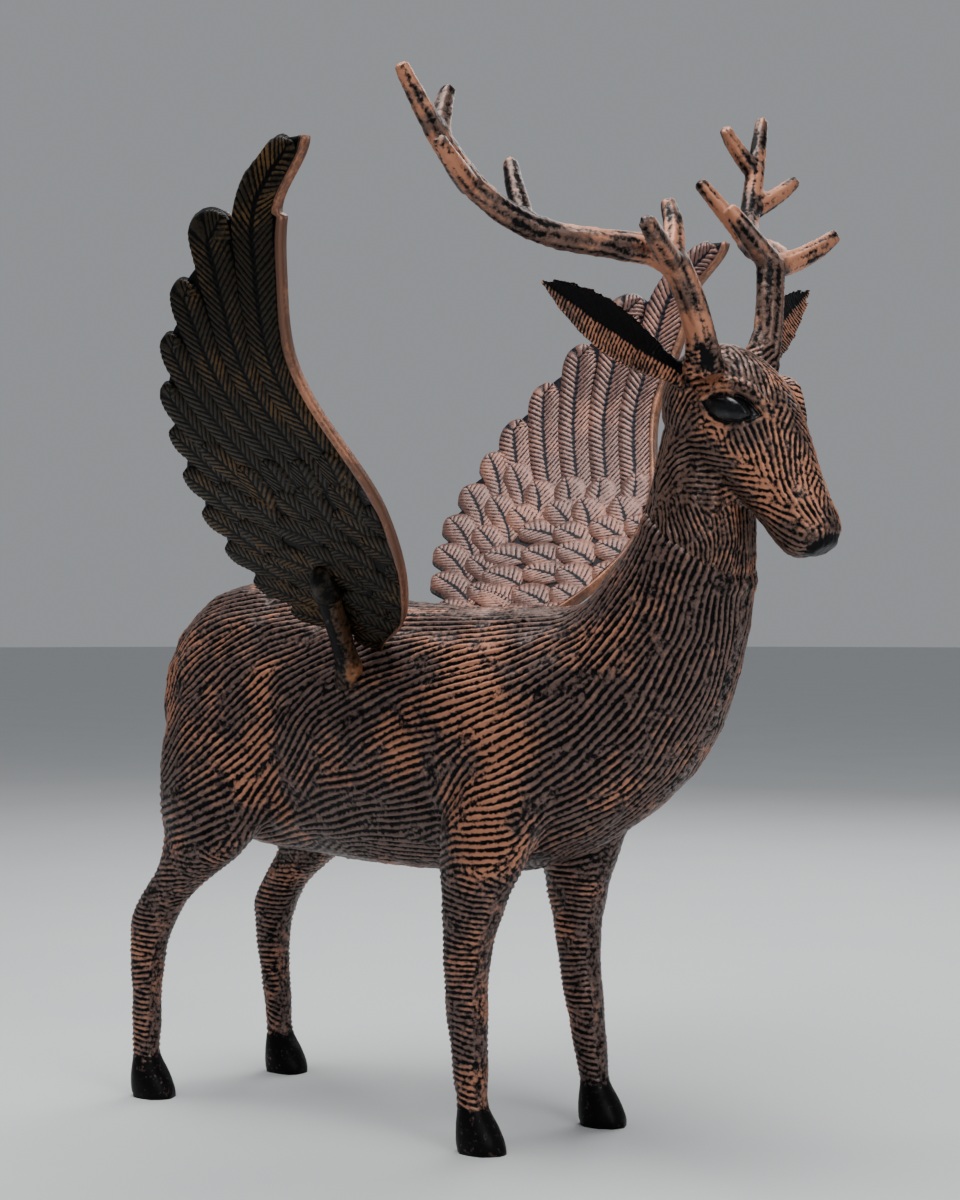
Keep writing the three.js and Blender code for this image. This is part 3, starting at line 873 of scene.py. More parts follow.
@dataclass
class StagHead(Casting):
    """Head, ears, antlers and the top of the neck."""

    node: str = "deer_head"
    slot: str = "head_finish"
    finish: CastFinish = FACE
    voxel: float = 3.1
    rounds: int = 5
    levels: int = 1
    triangles: int = 196000
    middle: float = -20.0  # y of the head's own middle plane
    roll: float = math.radians(5.4)  # the head leans to the stag's right
    hinge: float = 800.0  # height that it leans about
    muzzle: tuple[float, float] = (175.0, 181.0)  # down the face, where its dark end starts
    nose_rim: float = 172.0  # down the face, the raised rim around that end
    face_top: tuple[float, float] = (325.0, 785.0)  # x and height of the start of the face's line
    face_slope: float = math.radians(-54.5)
    brow: Segment = ((330, 56, 826), (378, 42, 778))
    mouth: Segment = ((398, 44, 655), (432, 34, 630))
    wiped_and_shade: tuple[Stripe, ...] = (
        (((345, 60, 760), (400, 42, 700)), 16.0, 0.7),
        (((385, 28, 770), (435, 16, 690)), 16.0, 0.7),
        (((300, 60, 790), (320, 62, 815)), 14.0, 0.5),
        (((425, 30, 665), (440, 20, 660)), 14.0, 0.6),
    )
    spacing: float = 6.2
    depth: float = 2.2
    eye: Point = (362, 58, 781)  # centre, as x, distance out and height before the roll
    eye_slope: float = math.radians(-18)
    eye_size: tuple[float, float] = (28.0, 14.0)  # half its length and height
    eye_depth: float = 30.0  # how far in from its centre it is looked for
    ear: Segment = ((315, 50, 810), (290, 265, 910))
    ear_reach: tuple[float, float] = (46.0, 38.0)  # around that line, the soft limit of the ear
    ear_root: tuple[float, float] = (62.0, 74.0)  # distances out over which the skull gives way to it
    antler_reach: tuple[float, float] = (34.0, 24.0)  # around the lines below
    antler_foot: tuple[float, float] = (836.0, 856.0)  # heights over which the skull gives way to them
    antler: tuple[Segment, ...] = (
        ((335, 55, 820), (340, 70, 860)),
        ((340, 70, 860), (330, 100, 930)),
        ((330, 100, 930), (300, 160, 945)),
        ((300, 160, 945), (250, 200, 960)),
        ((250, 200, 960), (220, 255, 995)),
        ((220, 255, 995), (205, 300, 1050)),
        ((205, 300, 1050), (195, 340, 1115)),
        ((330, 100, 925), (360, 190, 960)),
        ((330, 100, 930), (305, 60, 990)),
        ((240, 215, 965), (200, 180, 1035)),
        ((215, 270, 1005), (235, 340, 1040)),
        ((205, 300, 1050), (190, 260, 1100)),
    )
    guides: tuple[Guide, ...] = (
        Guide((347, 55, 723), (1, 0, 0.1)),
        Guide((283, 48, 715), (0.8, 0, 0.9)),
        Guide((300, 57, 742), (1, 0, 0.6)),
        Guide((325, 62, 750), (1, 0, 0.3)),
        Guide((350, 56, 735), (1, 0, 0.1)),
        Guide((345, 50, 700), (1, 0, 0.1)),
        Guide((370, 48, 712), (1, 0, 0)),
        Guide((385, 42, 690), (1, 0, -0.1)),
        Guide((400, 40, 668), (1, 0, -0.3)),
        Guide((300, 60, 775), (0.6, 0, 0.7)),
        Guide((280, 45, 750), (0.2, 0, 1)),
        Guide((362, 52, 757), (0.3, 0, -1)),
        Guide((385, 45, 735), (0.35, 0, -1)),
        Guide((408, 40, 708), (0.45, 0, -1)),
        Guide((431, 36, 680), (0.6, 0, -1)),
        Guide((400, 38, 730), (0.4, 0, -1)),
        Guide((425, 34, 705), (0.5, 0, -1)),
        Guide((440, 8, 715), (0.5, 0.9, -0.7)),
        Guide((410, 12, 765), (0.4, 0.8, -0.6)),
        Guide((375, 20, 820), (0.6, 0.5, -0.5)),
        Guide((345, 50, 830), (0.9, 0.2, 0.4)),
        Guide((300, 40, 680), (-0.15, 0, -1)),
        Guide((265, 30, 700), (-0.2, 0, -1)),
        Guide((330, 25, 640), (-0.15, 0, -1)),
        Guide((350, 10, 650), (-0.3, 0, -1)),
        Guide((445, 20, 640), (0.3, 0, -1)),
        Guide((395, 15, 640), (1, 0, -0.3)),
        Guide((300, 20, 845), (-0.9, 0.3, 0)),
    )

    def turn(self) -> Array:
        """Gives the matrix that takes out the head's roll."""
        cosine, sine = math.cos(self.roll), math.sin(self.roll)
        return np.array([[1, 0, 0], [0, cosine, sine], [0, -sine, cosine]])

    def upright(self, points: Array, normals: Array) -> tuple[Array, Array, Array]:
        """Takes out the head's roll and folds it to the right side, as mirrored does."""
        hinge = np.array([0, self.middle, self.hinge])
        turn = self.turn()
        return mirrored((points - hinge) @ turn.T + hinge, normals @ turn.T, self.middle)

    def nearest(self, folded: Array) -> tuple[Array, Array, Array]:
        """Finds the antlers and the ears.

        Args:
            folded: Places on the right side.

        Returns:
            The share of antler and of ear at each place, and the direction of the antler there.
        """
        gaps = np.stack([away_from(folded, segment) for segment in self.antler], axis=1)
        runs = unit(np.array([np.subtract(end, start) for start, end in self.antler]))
        antler = smoothstep(*self.antler_reach, gaps.min(axis=1))
        antler *= smoothstep(*self.antler_foot, folded[:, 2])
        ear = smoothstep(*self.ear_reach, away_from(folded, self.ear))
        ear *= smoothstep(*self.ear_root, folded[:, 1]) * (1 - antler)
        return antler, ear, runs[gaps.argmin(axis=1)]

    def lay(self, points: Array, normals: Array) -> tuple[Array, Array]:
        """Gives the direction across the strands and their spacing at each place."""
        folded, turned, side = self.upright(points, normals)
        antler, ear, run = self.nearest(folded)
        lie = flow(folded, self.guides, 6.0)
        lie = np.where(antler[:, None] > 0.5, run, lie)
        across = across_flow(lie, turned)
        ribs = unit(np.subtract(self.ear[1], self.ear[0])) + np.array([0.0, 0.0, 0.5])
        on_ear = unit(ribs - (turned @ ribs)[:, None] * turned)
        across = stray(folded, turned, across, 0.25 * (1 - antler), 43)
        across = np.where(ear[:, None] > 0.5, on_ear, across)
        across[:, 1] *= side
        across = across @ self.turn()
        across = unit(across - (across * normals).sum(axis=1, keepdims=True) * normals)
        neck = smoothstep(700, 660, folded[:, 2]) * smoothstep(370, 340, folded[:, 0])
        return across, self.spacing + 3.0 * antler - 1.2 * neck - 1.4 * ear

    def almond(self, folded: Array) -> Array:
        """Gives, for each place, how far it lies inside the eye's outline: 0 on it, 1 at the middle."""
        gap = folded - np.array(self.eye)
        cosine, sine = math.cos(self.eye_slope), math.sin(self.eye_slope)
        long = (gap[:, 0] * cosine + gap[:, 2] * sine) / self.eye_size[0]
        high = (gap[:, 2] * cosine - gap[:, 0] * sine) / self.eye_size[1]
        inside = (1 - long**2) - np.abs(high)
        near = (np.abs(gap[:, 1]) < self.eye_depth) & (np.abs(long) < 1.6)
        return np.where(near, inside, -3.0)

    def carve(self, mesh: bpy.types.Mesh) -> None:
        """Cuts the short strokes of the face, the eyes, the ribbed ears and the antlers' long grooves."""
        strand = Comb(reach_along=14.0, reach_across=5.5, stroke_area=40.0, seed=23).strands(mesh, self.lay)
        points, normals = read(mesh)
        folded, turned, _ = self.upright(points, normals)
        antler, ear, _ = self.nearest(folded)
        inside = self.almond(folded)
        eye = smoothstep(-0.04, 0.05, inside)
        lid = np.exp(-(((inside + 0.02) / 0.1) ** 2))
        muzzle = smoothstep(*self.muzzle, self.down_the_face(folded))
        brow = stripe(folded, self.brow, 9.0)
        smooth = np.maximum(np.maximum(eye, smoothstep(-0.6, -0.3, inside)), np.maximum(brow, 0.8 * muzzle))
        skull = (1 - antler) * (1 - ear)
        hollow_and_shade = self.hollow_and_shade(folded, turned) * ear
        depth = self.depth * (1 - 0.7 * antler) * (1 - 0.72 * ear) * (1 - smooth)
        depth *= 0.7 + 0.6 * cloud(points, 12.0, 9)
        grain = cloud(points, 3.5, 4) - 0.5
        rise = (strand - 0.6) * depth + 0.8 * grain * (1 - eye) - 2.4 * lid - 2.0 * hollow_and_shade
        rise += 1.6 * np.exp(-(((inside + 0.35) / 0.2) ** 2)) + 1.2 * brow * (1 - eye)
        rise -= 2.0 * stripe(folded, self.mouth, 3.0)
        rise += 2.4 * np.exp(-(((self.down_the_face(folded) - self.nose_rim) / 4.5) ** 2)) * skull
        points = close_seam(points + normals * rise[:, None], -2.0)
        write(mesh, points)
        plain = np.maximum(smooth, antler * 0.52)
        smear = cloud(points, 22.0, 12) - 0.5
        # the ear's upper front is also darkened here as painted shade
        relief = strand * (1 - plain) + plain * 0.7 - 0.6 * lid + 0.5 * grain - 1.1 * hollow_and_shade - 1.2 * muzzle
        store(mesh, "relief", relief + antler * (0.7 * smear + 0.02 - 0.3 * grain))
        # painted shade: less copper where the skull's surface faces down
        under = smoothstep(-0.1, -0.8, turned[:, 2]) * skull
        back = smoothstep(330, 290, folded[:, 0]) * skull
        wiped_and_shade = 1.3 * brow + (1.5 * smear + 0.05) * antler + 0.2 * ear - 0.9 * under - 0.7 * back
        store(mesh, "wiped_and_shade", wiped_and_shade + stripes(folded, self.wiped_and_shade))
        store(mesh, "gloss", eye)

    def down_the_face(self, folded: Array) -> Array:
        """Gives how far each place lies down the line of the face, towards the nose."""
        x, height = folded[:, 0] - self.face_top[0], folded[:, 2] - self.face_top[1]
        return x * math.cos(self.face_slope) + height * math.sin(self.face_slope)

    def hollow_and_shade(self, folded: Array, turned: Array) -> Array:
        """Gives how deep the ear is hollowed, carved in and also darkened as painted shade: the upper part of
        its front, inside the rim.
        """
        start, end = np.array(self.ear[0], float), np.array(self.ear[1], float)
        share = np.clip((folded[:, 1] - start[1]) / (end[1] - start[1]), 0, 1)
        middle = start[2] + (end[2] - start[2]) * share
        above = folded[:, 2] - middle
        return smoothstep(-3, 4, above) * smoothstep(0.05, 0.4, turned[:, 0])


# ---- wings ---------------------------------------------------------------------------------------


SLANT = 0.9  # millimetres that a barb runs on towards the tip, for each millimetre out from the shaft


@dataclass(frozen=True)
class Vane:
    """A Geometry Nodes tree that sweeps one barbed feather along each shaft line of a mesh."""

    step: float = 1.3  # from ring to ring
    barb: float = 7.4  # from barb to barb
    slant: float = SLANT
    barb_depth: float = 1.1
    crown: float = 0.9  # the middle stands this far above the edges
    lift: float = 2.6  # and the tip above the root
    tilt: float = 0.5  # one edge stands above the other, so that neighbours lap
    sink: float = 3.0  # the underside lies this far inside the plate

    def modifier(self, host: bpy.types.Object, material: bpy.types.Material) -> None:
        """Adds the tree to an object, with its sizes.

        Args:
            host: A mesh of shaft lines with a half_width at each point.
            material: The finish of the feathers.
        """
        tree = bpy.data.node_groups.new("feather_vanes", "GeometryNodeTree")
        tree.interface.new_socket("Geometry", in_out="OUTPUT", socket_type="NodeSocketGeometry")
        tree.interface.new_socket("Geometry", in_out="INPUT", socket_type="NodeSocketGeometry")
        sizes = {
            "Step": self.step,
            "Barb": self.barb,
            "Slant": self.slant,
            "Barb depth": self.barb_depth,
            "Crown": self.crown,
            "Lift": self.lift,
            "Tilt": self.tilt,
            "Sink": self.sink,
        }
        keys = {}
        for name in sizes:
            made = tree.interface.new_socket(name, in_out="INPUT", socket_type="NodeSocketFloat")
            keys[name] = made.identifier
        finish = tree.interface.new_socket("Finish", in_out="INPUT", socket_type="NodeSocketMaterial")
        self.wire(tree)
        modifier = host.modifiers.new("vanes", "NODES")
        modifier.node_group = tree
        for name, value in sizes.items():
            modifier[keys[name]] = value
        modifier[finish.identifier] = material

    def wire(self, tree: Tree) -> None:
        """Links the tree: shaft lines to curves, a flat vane swept along them, then its relief."""
        put = partial(add, tree)
        given = put("NodeGroupInput").node.outputs
        half = put(ATTRIBUTE, {"Name": "half_width"}, data_type="FLOAT")
        curve = put("GeometryNodeMeshToCurve", {"Mesh": given["Geometry"]})
        curve = put("GeometryNodeSetCurveNormal", {"Curve": curve}, mode="Z_UP")
        curve = put("GeometryNodeResampleCurve", {"Curve": curve, "Length": given["Step"]}, mode="LENGTH")
        along = put("GeometryNodeSplineParameter").node.outputs
        for name, kind, value in (
            ("reach", "FLOAT", along["Factor"]),
            ("run", "FLOAT", along["Length"]),
            ("heading", "FLOAT_VECTOR", put("GeometryNodeInputTangent")),
        ):
            curve = put(STORE, {"Geometry": curve, "Name": name, "Value": value}, data_type=kind)
        line = put("GeometryNodeCurvePrimitiveLine", {"Start": (-1, 0, 0), "End": (1, 0, 0)})
        line = put("GeometryNodeResampleCurve", {"Curve": line, "Count": 9}, mode="COUNT")
        across = put("ShaderNodeSeparateXYZ", {0: put("GeometryNodeInputPosition")}, "X")
        # points drawn towards the quill and the edges, where the vane turns sharply
        eased = put(RAMP, {"Value": put(MATH, {0: across}, operation="ABSOLUTE")}, **SOFT)
        signed = put(MATH, {0: eased, 1: put(MATH, {0: across}, operation="SIGN")}, **TIMES)
        spot = put("ShaderNodeCombineXYZ", {"X": signed})
        line = put("GeometryNodeSetPosition", {"Geometry": line, "Position": spot})
        line = put(STORE, {"Geometry": line, "Name": "vane", "Value": across}, data_type="FLOAT")
        swept = put("GeometryNodeCurveToMesh", {"Curve": curve, "Profile Curve": line, "Scale": half})
        whole = put("GeometryNodeRealizeInstances", {"Geometry": self.relieve(tree, given, swept, half)})
        done = put("GeometryNodeSetMaterial", {"Geometry": whole, "Material": given["Finish"]})
        put("NodeGroupOutput", {"Geometry": done})

    def relieve(
        self, tree: Tree, given: bpy.types.NodeOutputs, swept: Socket, half: Socket
    ) -> Socket:
        """Raises barbs, shaft and crown on the swept vane, and folds its edges down into the plate.

        Args:
            tree: The tree.
            given: The tree's own inputs.
            swept: The flat vanes.
            half: Half the width of the vane at each point.

        Returns:
            The shaped vanes, which carry their relief for the finish.
        """
        put = partial(add, tree)
        reach, run, vane, short = [
            put(ATTRIBUTE, {"Name": name}, data_type="FLOAT") for name in ("reach", "run", "vane", "short")
        ]
        wide = put(MATH, {0: vane}, operation="ABSOLUTE")
        # barbs: a wave up the shaft, whose grooves are finer and fade outward on a short feather
        turns = put(MATH, {0: run, 1: given["Barb"]}, operation="DIVIDE")
        wave = put(MATH, {0: put(MATH, {0: turns, 1: TURN}, **TIMES)}, operation="COSINE")
        comb = put(MATH, {0: wave, 1: 0.5, 2: 0.5}, **SUM)
        power = put(MATH, {0: short, 1: -0.12, 2: 0.4}, **SUM)
        comb = put(MATH, {0: comb, 1: power}, operation="POWER")
        shallow = put(RAMP, {"Value": wide, "From Min": 0.6, "From Max": 1.0, "To Max": short}, **SOFT)
        groove = put(MATH, {0: 1.0, 1: comb}, operation="SUBTRACT")
        comb = put(MATH, {0: groove, 1: shallow, 2: comb}, **SUM)
        # none on the quill and the border
        beside = put(RAMP, {"Value": wide, "From Min": 0.02, "From Max": 0.16}, **SOFT)
        edging = put(MATH, {0: short, 1: 0.08, 2: 0.83}, **SUM)
        within = put(RAMP, {"Value": wide, "From Min": 0.999, "From Max": edging}, **SOFT)
        bare = put(MATH, {0: beside, 1: within}, **TIMES)
        relief = put(MATH, {0: comb, 1: bare}, **TIMES)
        # the level of the vane: bowed across, climbing to its tip, leaning to one side
        square = put(MATH, {0: wide, 1: wide, 2: -1.0}, **SUM)
        bow = put(MATH, {0: square, 1: given["Crown"]}, **TIMES)
        climb = put(MATH, {0: reach, 1: given["Lift"]}, **TIMES)
        level = put(MATH, {0: climb, 1: bow}, operation="SUBTRACT")
        level = put(MATH, {0: vane, 1: given["Tilt"], 2: level}, **SUM)
        level = put(MATH, {0: relief, 1: given["Barb depth"], 2: level}, **SUM)
        # its edges and ends go down into the plate
        rim = put(MATH, {0: wide, 1: 0.99}, operation="GREATER_THAN")
        root = put(MATH, {0: reach, 1: 0.0005}, operation="LESS_THAN")
        tip = put(MATH, {0: reach, 1: 0.9995}, operation="GREATER_THAN")
        for end in (root, tip):
            rim = put(MATH, {0: end, 1: rim}, operation="MAXIMUM")
        under = put(MATH, {0: given["Sink"], 1: -1.0}, **TIMES)
        rise = put("ShaderNodeCombineXYZ", {"Z": put(MIX, {"Factor": rim, "A": level, "B": under})})
        # and the whole slides on towards the tip, the further out the more, which slants the barbs
        out = put(MATH, {0: wide, 1: half}, **TIMES)
        slide = put(MATH, {0: out, 1: given["Slant"]}, **TIMES)
        heading = put(ATTRIBUTE, {"Name": "heading"}, data_type="FLOAT_VECTOR")
        shift = put("ShaderNodeVectorMath", {0: heading, "Scale": slide}, operation="SCALE")
        both = put("ShaderNodeVectorMath", {0: rise, 1: shift}, operation="ADD")
        moved = put("GeometryNodeSetPosition", {"Geometry": swept, "Offset": both})
        return put(STORE, {"Geometry": moved, "Name": "relief", "Value": relief}, data_type="FLOAT")


@dataclass
class Wing:
    """A wing: a curved plate with a thick leading rim, and feathers lapped over both of its faces."""

    side: Side
    radius: float = 668.0
    start_angle: float = math.radians(32)
    root_out: float = 85.0
    root_up: float = 532.0
    length: float = 606.0
    lean_in: float = 0.13
    rim_end: float = 535.0
    rim_step: float = 9.0
    half_core: float = 3.6  # half the plate's thickness under the feathers
    half_rim: float = 6.2
    boss: tuple = (((-75.9, -169.4, 591.7), 17.0), ((-71, -183, 609), 16.0), ((-67, -194.2, 622.5), 13.0))
    leading: tuple = ((0, -66), (60, 0), (215, 62), (390, 22), (470, 34), (545, 54), (606, 96))
    trailing: tuple = ((0, -66), (90, -164), (230, -210), (400, -166), (540, -44), (606, 58))
    tips: int = 12  # feather tips along the trailing edge
    notch: float = 9.0
    widest: float = 30.0  # half the width of a long feather, at most
    first_long: int = 7  # the tips from this one on belong to long feathers
    rows: int = 150
    columns: int = 26
    margin: float = 0.012  # share of the length that lies below the first feather
    corner: float = 520.0  # from here up the plate is cut back under the last feather
    corner_width: float = 46.0  # and this wide at the least

    def __post_init__(self) -> None:
        """Makes the curves of the two edges, and the distance from feather tip to feather tip."""
        self.step = self.length * 0.988 / self.tips
        self.lead_curve = table(self.leading)
        self.trail_curve = table(self.trailing)

    def lead(self, along: float) -> float:
        """Gives the leading edge's x."""
        return float(self.lead_curve(along)[0]) - self.rim_step * float(
            smoothstep(self.rim_end - 3, self.rim_end + 3, np.array(along))
        )

    def trail(self, along: float) -> float:
        """Gives the trailing edge's x, over the feather tips."""
        return float(self.trail_curve(along)[0])

    def bend(self, flat: Array, face: float) -> Array:
        """Bends flat places onto the wing.

        Args:
            flat: Places as distance up the wing, x and height over the plate's middle.
            face: 1 for the outer face and -1 for the inner one.

        Returns:
            The places in the stag's own frame.
        """
        along, x, height = flat.T
        lead = np.interp(along, *self.lead_samples())
        angle = self.start_angle + along / self.radius
        share = np.clip(along / self.length, 0, 1)
        lean = self.lean_in * (lead - x) * np.sin(math.pi * share**0.7)
        out = self.root_out + self.radius * (np.sin(angle) - math.sin(self.start_angle)) - lean
        up = self.root_up + self.radius * (math.cos(self.start_angle) - np.cos(angle))
        out = out + face * height * np.sin(angle)
        up = up - face * height * np.cos(angle)
        return np.stack([x, self.side.value * out, up], axis=1)

    def lead_samples(self) -> tuple[Array, Array]:
        """Gives the leading edge as even samples."""
        places = np.linspace(0, self.length, 240)
        return places, np.array([self.lead(place) for place in places])

    def core(self) -> tuple[Array, Array, Array]:
        """Makes the plate.

        Returns:
            Its points bent into place, its four-sided faces, and the relief at each point.
        """
        sheets, relief = [], []
        for face in (1, -1):
            flat = []
            for row in range(self.rows):
                share = row / (self.rows - 1)
                along = self.length * (self.margin + 0.986 * share)
                lead, trail = self.lead(along), self.trail(along)
                tip = abs(math.sin(math.pi * self.tips * share))
                gap = (1.8 * self.notch * (1 - tip) + 8.0) if 0.1 < share < 0.9 else 3.0
                if along > self.corner:
                    spare = 70.0 * float(smoothstep(548, 522, np.array(along)))
                    trail = max(trail, lead - self.corner_width - spare)
                trail = min(trail + gap, lead - 1.0)
                for column in range(self.columns):
                    across = column / (self.columns - 1)
                    across = across**1.6
                    x = lead + (trail - lead) * across
                    rim = float(smoothstep(8.0, 4.0, np.array(lead - x)))
                    flat.append((along, x, self.half_core + (self.half_rim - self.half_core) * rim))
                    relief.append(0.12 + 0.7 * rim)
            sheets.append(self.bend(np.array(flat), face))
        count = self.rows * self.columns
        cell = np.arange(count).reshape(self.rows, self.columns)
        a, b, c, d = cell[:-1, :-1], cell[:-1, 1:], cell[1:, 1:], cell[1:, :-1]
        outer = np.stack([a, b, c, d], axis=-1).reshape(-1, 4)
        inner = outer[:, ::-1] + count
        ring = np.concatenate([cell[0, :-1], cell[:-1, -1], cell[-1, :0:-1], cell[:0:-1, 0]])
        after = np.roll(ring, -1)
        wall = np.stack([after, ring, ring + count, after + count], axis=-1)
        return np.concatenate(sheets), np.concatenate([outer, inner, wall]), np.array(relief)

    def long_shaft(self, tip: int) -> tuple[list[tuple[float, float]], list[float]]:
        """Lays out a long feather, one of a fan between the two edges.

        Args:
            tip: Which tip on the trailing edge it ends in.

        Returns:
            Places along its shaft, and half its width at each.
        """
        end = self.length * self.margin + self.step * (tip + 0.5)
        last = self.tips - 1
        if tip >= last - 1:
            end = self.length - 3.0 if tip == last else end + 10.0
        start = 238.0 + 6 * (last - tip)
        shaft, widths = [], []
        for i in range(40):
            share = 1 - (1 - i / 39) ** 1.5
            along = start + (end - start) * share
            lanes = max(self.tips - (along - self.length * self.margin) / self.step, 1.0)
            lead, trail = self.lead(along) - 5.0, self.trail(along)
            lane = (lead - trail) / lanes
            widest = self.widest
            if tip == last:
                widest -= 8.0 * float(smoothstep(500, 600, np.array(along)))
            half = min(0.57 * lane, widest)
            x = lead - lane * (last - tip + 0.5)
            if tip == last:
                step_in = self.rim_step * float(smoothstep(470, 575, np.array(along)))
                x = float(self.lead_curve(along)[0]) - step_in - half - 3.0
            shaft.append((along, max(x, trail + 0.55 * half)))
            widths.append(half)
        return shaft, self.rounded(shaft, widths)

    @staticmethod
    def rounded(shaft: list[tuple[float, float]], widths: list[float]) -> list[float]:
        """Rounds a feather's tip, allowing for its slanted barbs.

        Args:
            shaft: Places along the shaft.
            widths: Half the width wanted at each.

        Returns:
            Half the width at each, drawn in at the tip.
        """
        runs = np.hypot(*np.diff(np.array(shaft), axis=0).T)
        left = np.append(np.cumsum(runs[::-1])[::-1], 0.0)
        half = widths[-1]
        drawn = []
        for width, rest in zip(widths, left):
            q = half - rest
            if q > -SLANT * half:
                arc = (-SLANT * q + math.sqrt((1 + SLANT**2) * half**2 - q * q)) / (1 + SLANT**2)
                width *= arc / half
            drawn.append(max(width, 0.5))
        return drawn

    def leaf(self, tip: tuple[float, float], turn: float, length: float, half: float) -> tuple[list, list]:
        """Lays out a short, round-tipped feather.

        Args:
            tip: Where it ends, as distance up the wing and x.
            turn: Its lean from straight up the wing towards the trailing edge, in radians.
            length: Its length.
            half: Half its width.

        Returns:
            Places along its shaft, and half its width at each.
        """
        shaft, widths = [], []
        for i in range(24):
            share = 1 - (1 - i / 23) ** 1.7
            back = length * (1 - share)
            bend = turn - 0.25 * (1 - share)
            shaft.append((tip[0] - back * math.cos(bend), tip[1] + back * math.sin(bend)))
            widths.append(half * (0.8 + 0.2 * min(1.0, share / 0.6)))
        return shaft, self.rounded(shaft, widths)

    def shafts(self, face: float) -> list[tuple[list, list]]:
        """Lays out every feather of a face: the long fan, two rows behind it, then the small ones."""
        made = [self.long_shaft(tip) for tip in range(self.tips - 1, self.first_long - 1, -1)]
        for layer, inset in ((0, 0.0), (1, 46.0)):
            for tip in range(self.first_long - 1, -1, -1):
                along = self.length * self.margin + self.step * (tip + 0.5 - 0.45 * layer)
                turn = math.radians(40 + 5.5 * (self.first_long - tip))
                length = 95.0 if tip > 1 else 60.0
                end = (along + 4 * layer, self.trail(max(along, 6.0)) + 1.5 + inset)
                if end[1] + 20 < self.lead(max(along, 6.0)) and along > 20:
                    made.append(self.leaf(end, turn, length, 23.0 - 2 * layer))
        rng = np.random.default_rng(31)
        for row in range(9, -1, -1):
            for column in range(9, -1, -1):
                along = 296.0 - 37.0 * row - 4.0 * column + rng.uniform(-3, 3)
                if along < 12.0:
                    continue
                gap = 24.0 + 46.0 * column + 23.0 * (row % 2) + rng.uniform(-3, 3)
                x = self.lead(along) - gap
                inner = self.trail(along) + (64.0 if along > 60 else 34.0)
                if x < inner:
                    continue
                turn = math.radians(min(12 + 24 * row, 62) + 6 * column + rng.uniform(-6, 6) - 8 * face)
                made.append(self.leaf((along, x), turn, 64.0, 25.5 - 1.5 * face))
        return made

    def feathers(self, face: float, material: bpy.types.Material) -> bpy.types.Object:
        """Makes the feathers of one face.

        Args:
            face: 1 for the outer face and -1 for the inner one.
            material: Their finish.

        Returns:
            An object of closed feathers, bent into place.
        """
        points, edges, halves, shorts = [], [], [], []
        for shaft, widths in self.shafts(face):
            start = len(points)
            points += [(along, x, 0.0) for along, x in shaft]
            edges += [(start + i, start + i + 1) for i in range(len(shaft) - 1)]
            halves += widths
            short = face < 0 and math.dist(shaft[0], shaft[-1]) < 100.0
            shorts += [float(short)] * len(widths)
        mesh = bpy.data.meshes.new("shafts")
        mesh.from_pydata(points, edges, [])
        store(mesh, "half_width", np.array(halves))
        store(mesh, "short", np.array(shorts))
        host = linked("shafts", mesh)
        Vane().modifier(host, material)
        settle(host)
        shell = bmesh.new()
        shell.from_mesh(host.data)
        open_edges = [edge for edge in shell.edges if edge.is_boundary]
        bmesh.ops.holes_fill(shell, edges=open_edges, sides=0)
        bmesh.ops.triangulate(shell, faces=[face for face in shell.faces if len(face.verts) > 4])
        face_outward(shell)
        shell.to_mesh(host.data)
        shell.free()
        flat = np.empty(len(host.data.vertices) * 3, np.float32)
        host.data.vertices.foreach_get("co", flat)
        flat = flat.reshape(-1, 3).astype(float)
        flat[:, 2] += self.half_core
        ends = np.array([self.lead(along) - 4.5 for along in np.linspace(0, self.length, 200)])
        flat[:, 1] = np.minimum(flat[:, 1], np.interp(flat[:, 0], np.linspace(0, self.length, 200), ends))
        write(host.data, self.bend(flat, face))
        if face * self.side.value < 0:
            host.data.flip_normals()
        return host

    def plate(self) -> bpy.types.Object:
        """Makes the plate with its rim; the boss that the strut meets is made by stub."""
        points, faces, relief = self.core()
        name = f"wing_{self.side.name.lower()}_feathered"
        mesh = solid(name, points, faces.tolist())
        store(mesh, "relief", relief)
        sheet = (self.rows - 1) * (self.columns - 1)
        front = len(mesh.polygons) - self.rows
        for polygon in mesh.polygons:
            outside = 0 if polygon.index < sheet else 1
            on_sheet = polygon.index < 2 * sheet
            on_rim = polygon.index % (self.columns - 1) < 5 if on_sheet else polygon.index > front
            polygon.material_index = 2 if on_rim else outside
        return linked(name, mesh)

    def clear_of_inside(self, points: Array) -> Array:
        """Moves points that would come through the plate back under its outer face.

        Args:
            points: Places by the outer face, as x, distance out and height.

        Returns:
            The moved points.
        """
        across = self.root_out - self.radius * math.sin(self.start_angle) - 14.0  # 14 for the plate's lean
        up = self.root_up + self.radius * math.cos(self.start_angle)
        spoke = points[:, 1:] - np.array([across, up])
        reach = np.linalg.norm(spoke, axis=1, keepdims=True)
        moved = points.copy()
        moved[:, 1:] += spoke / reach * np.maximum(self.radius - 1.0 - reach, 0.0)
        return moved

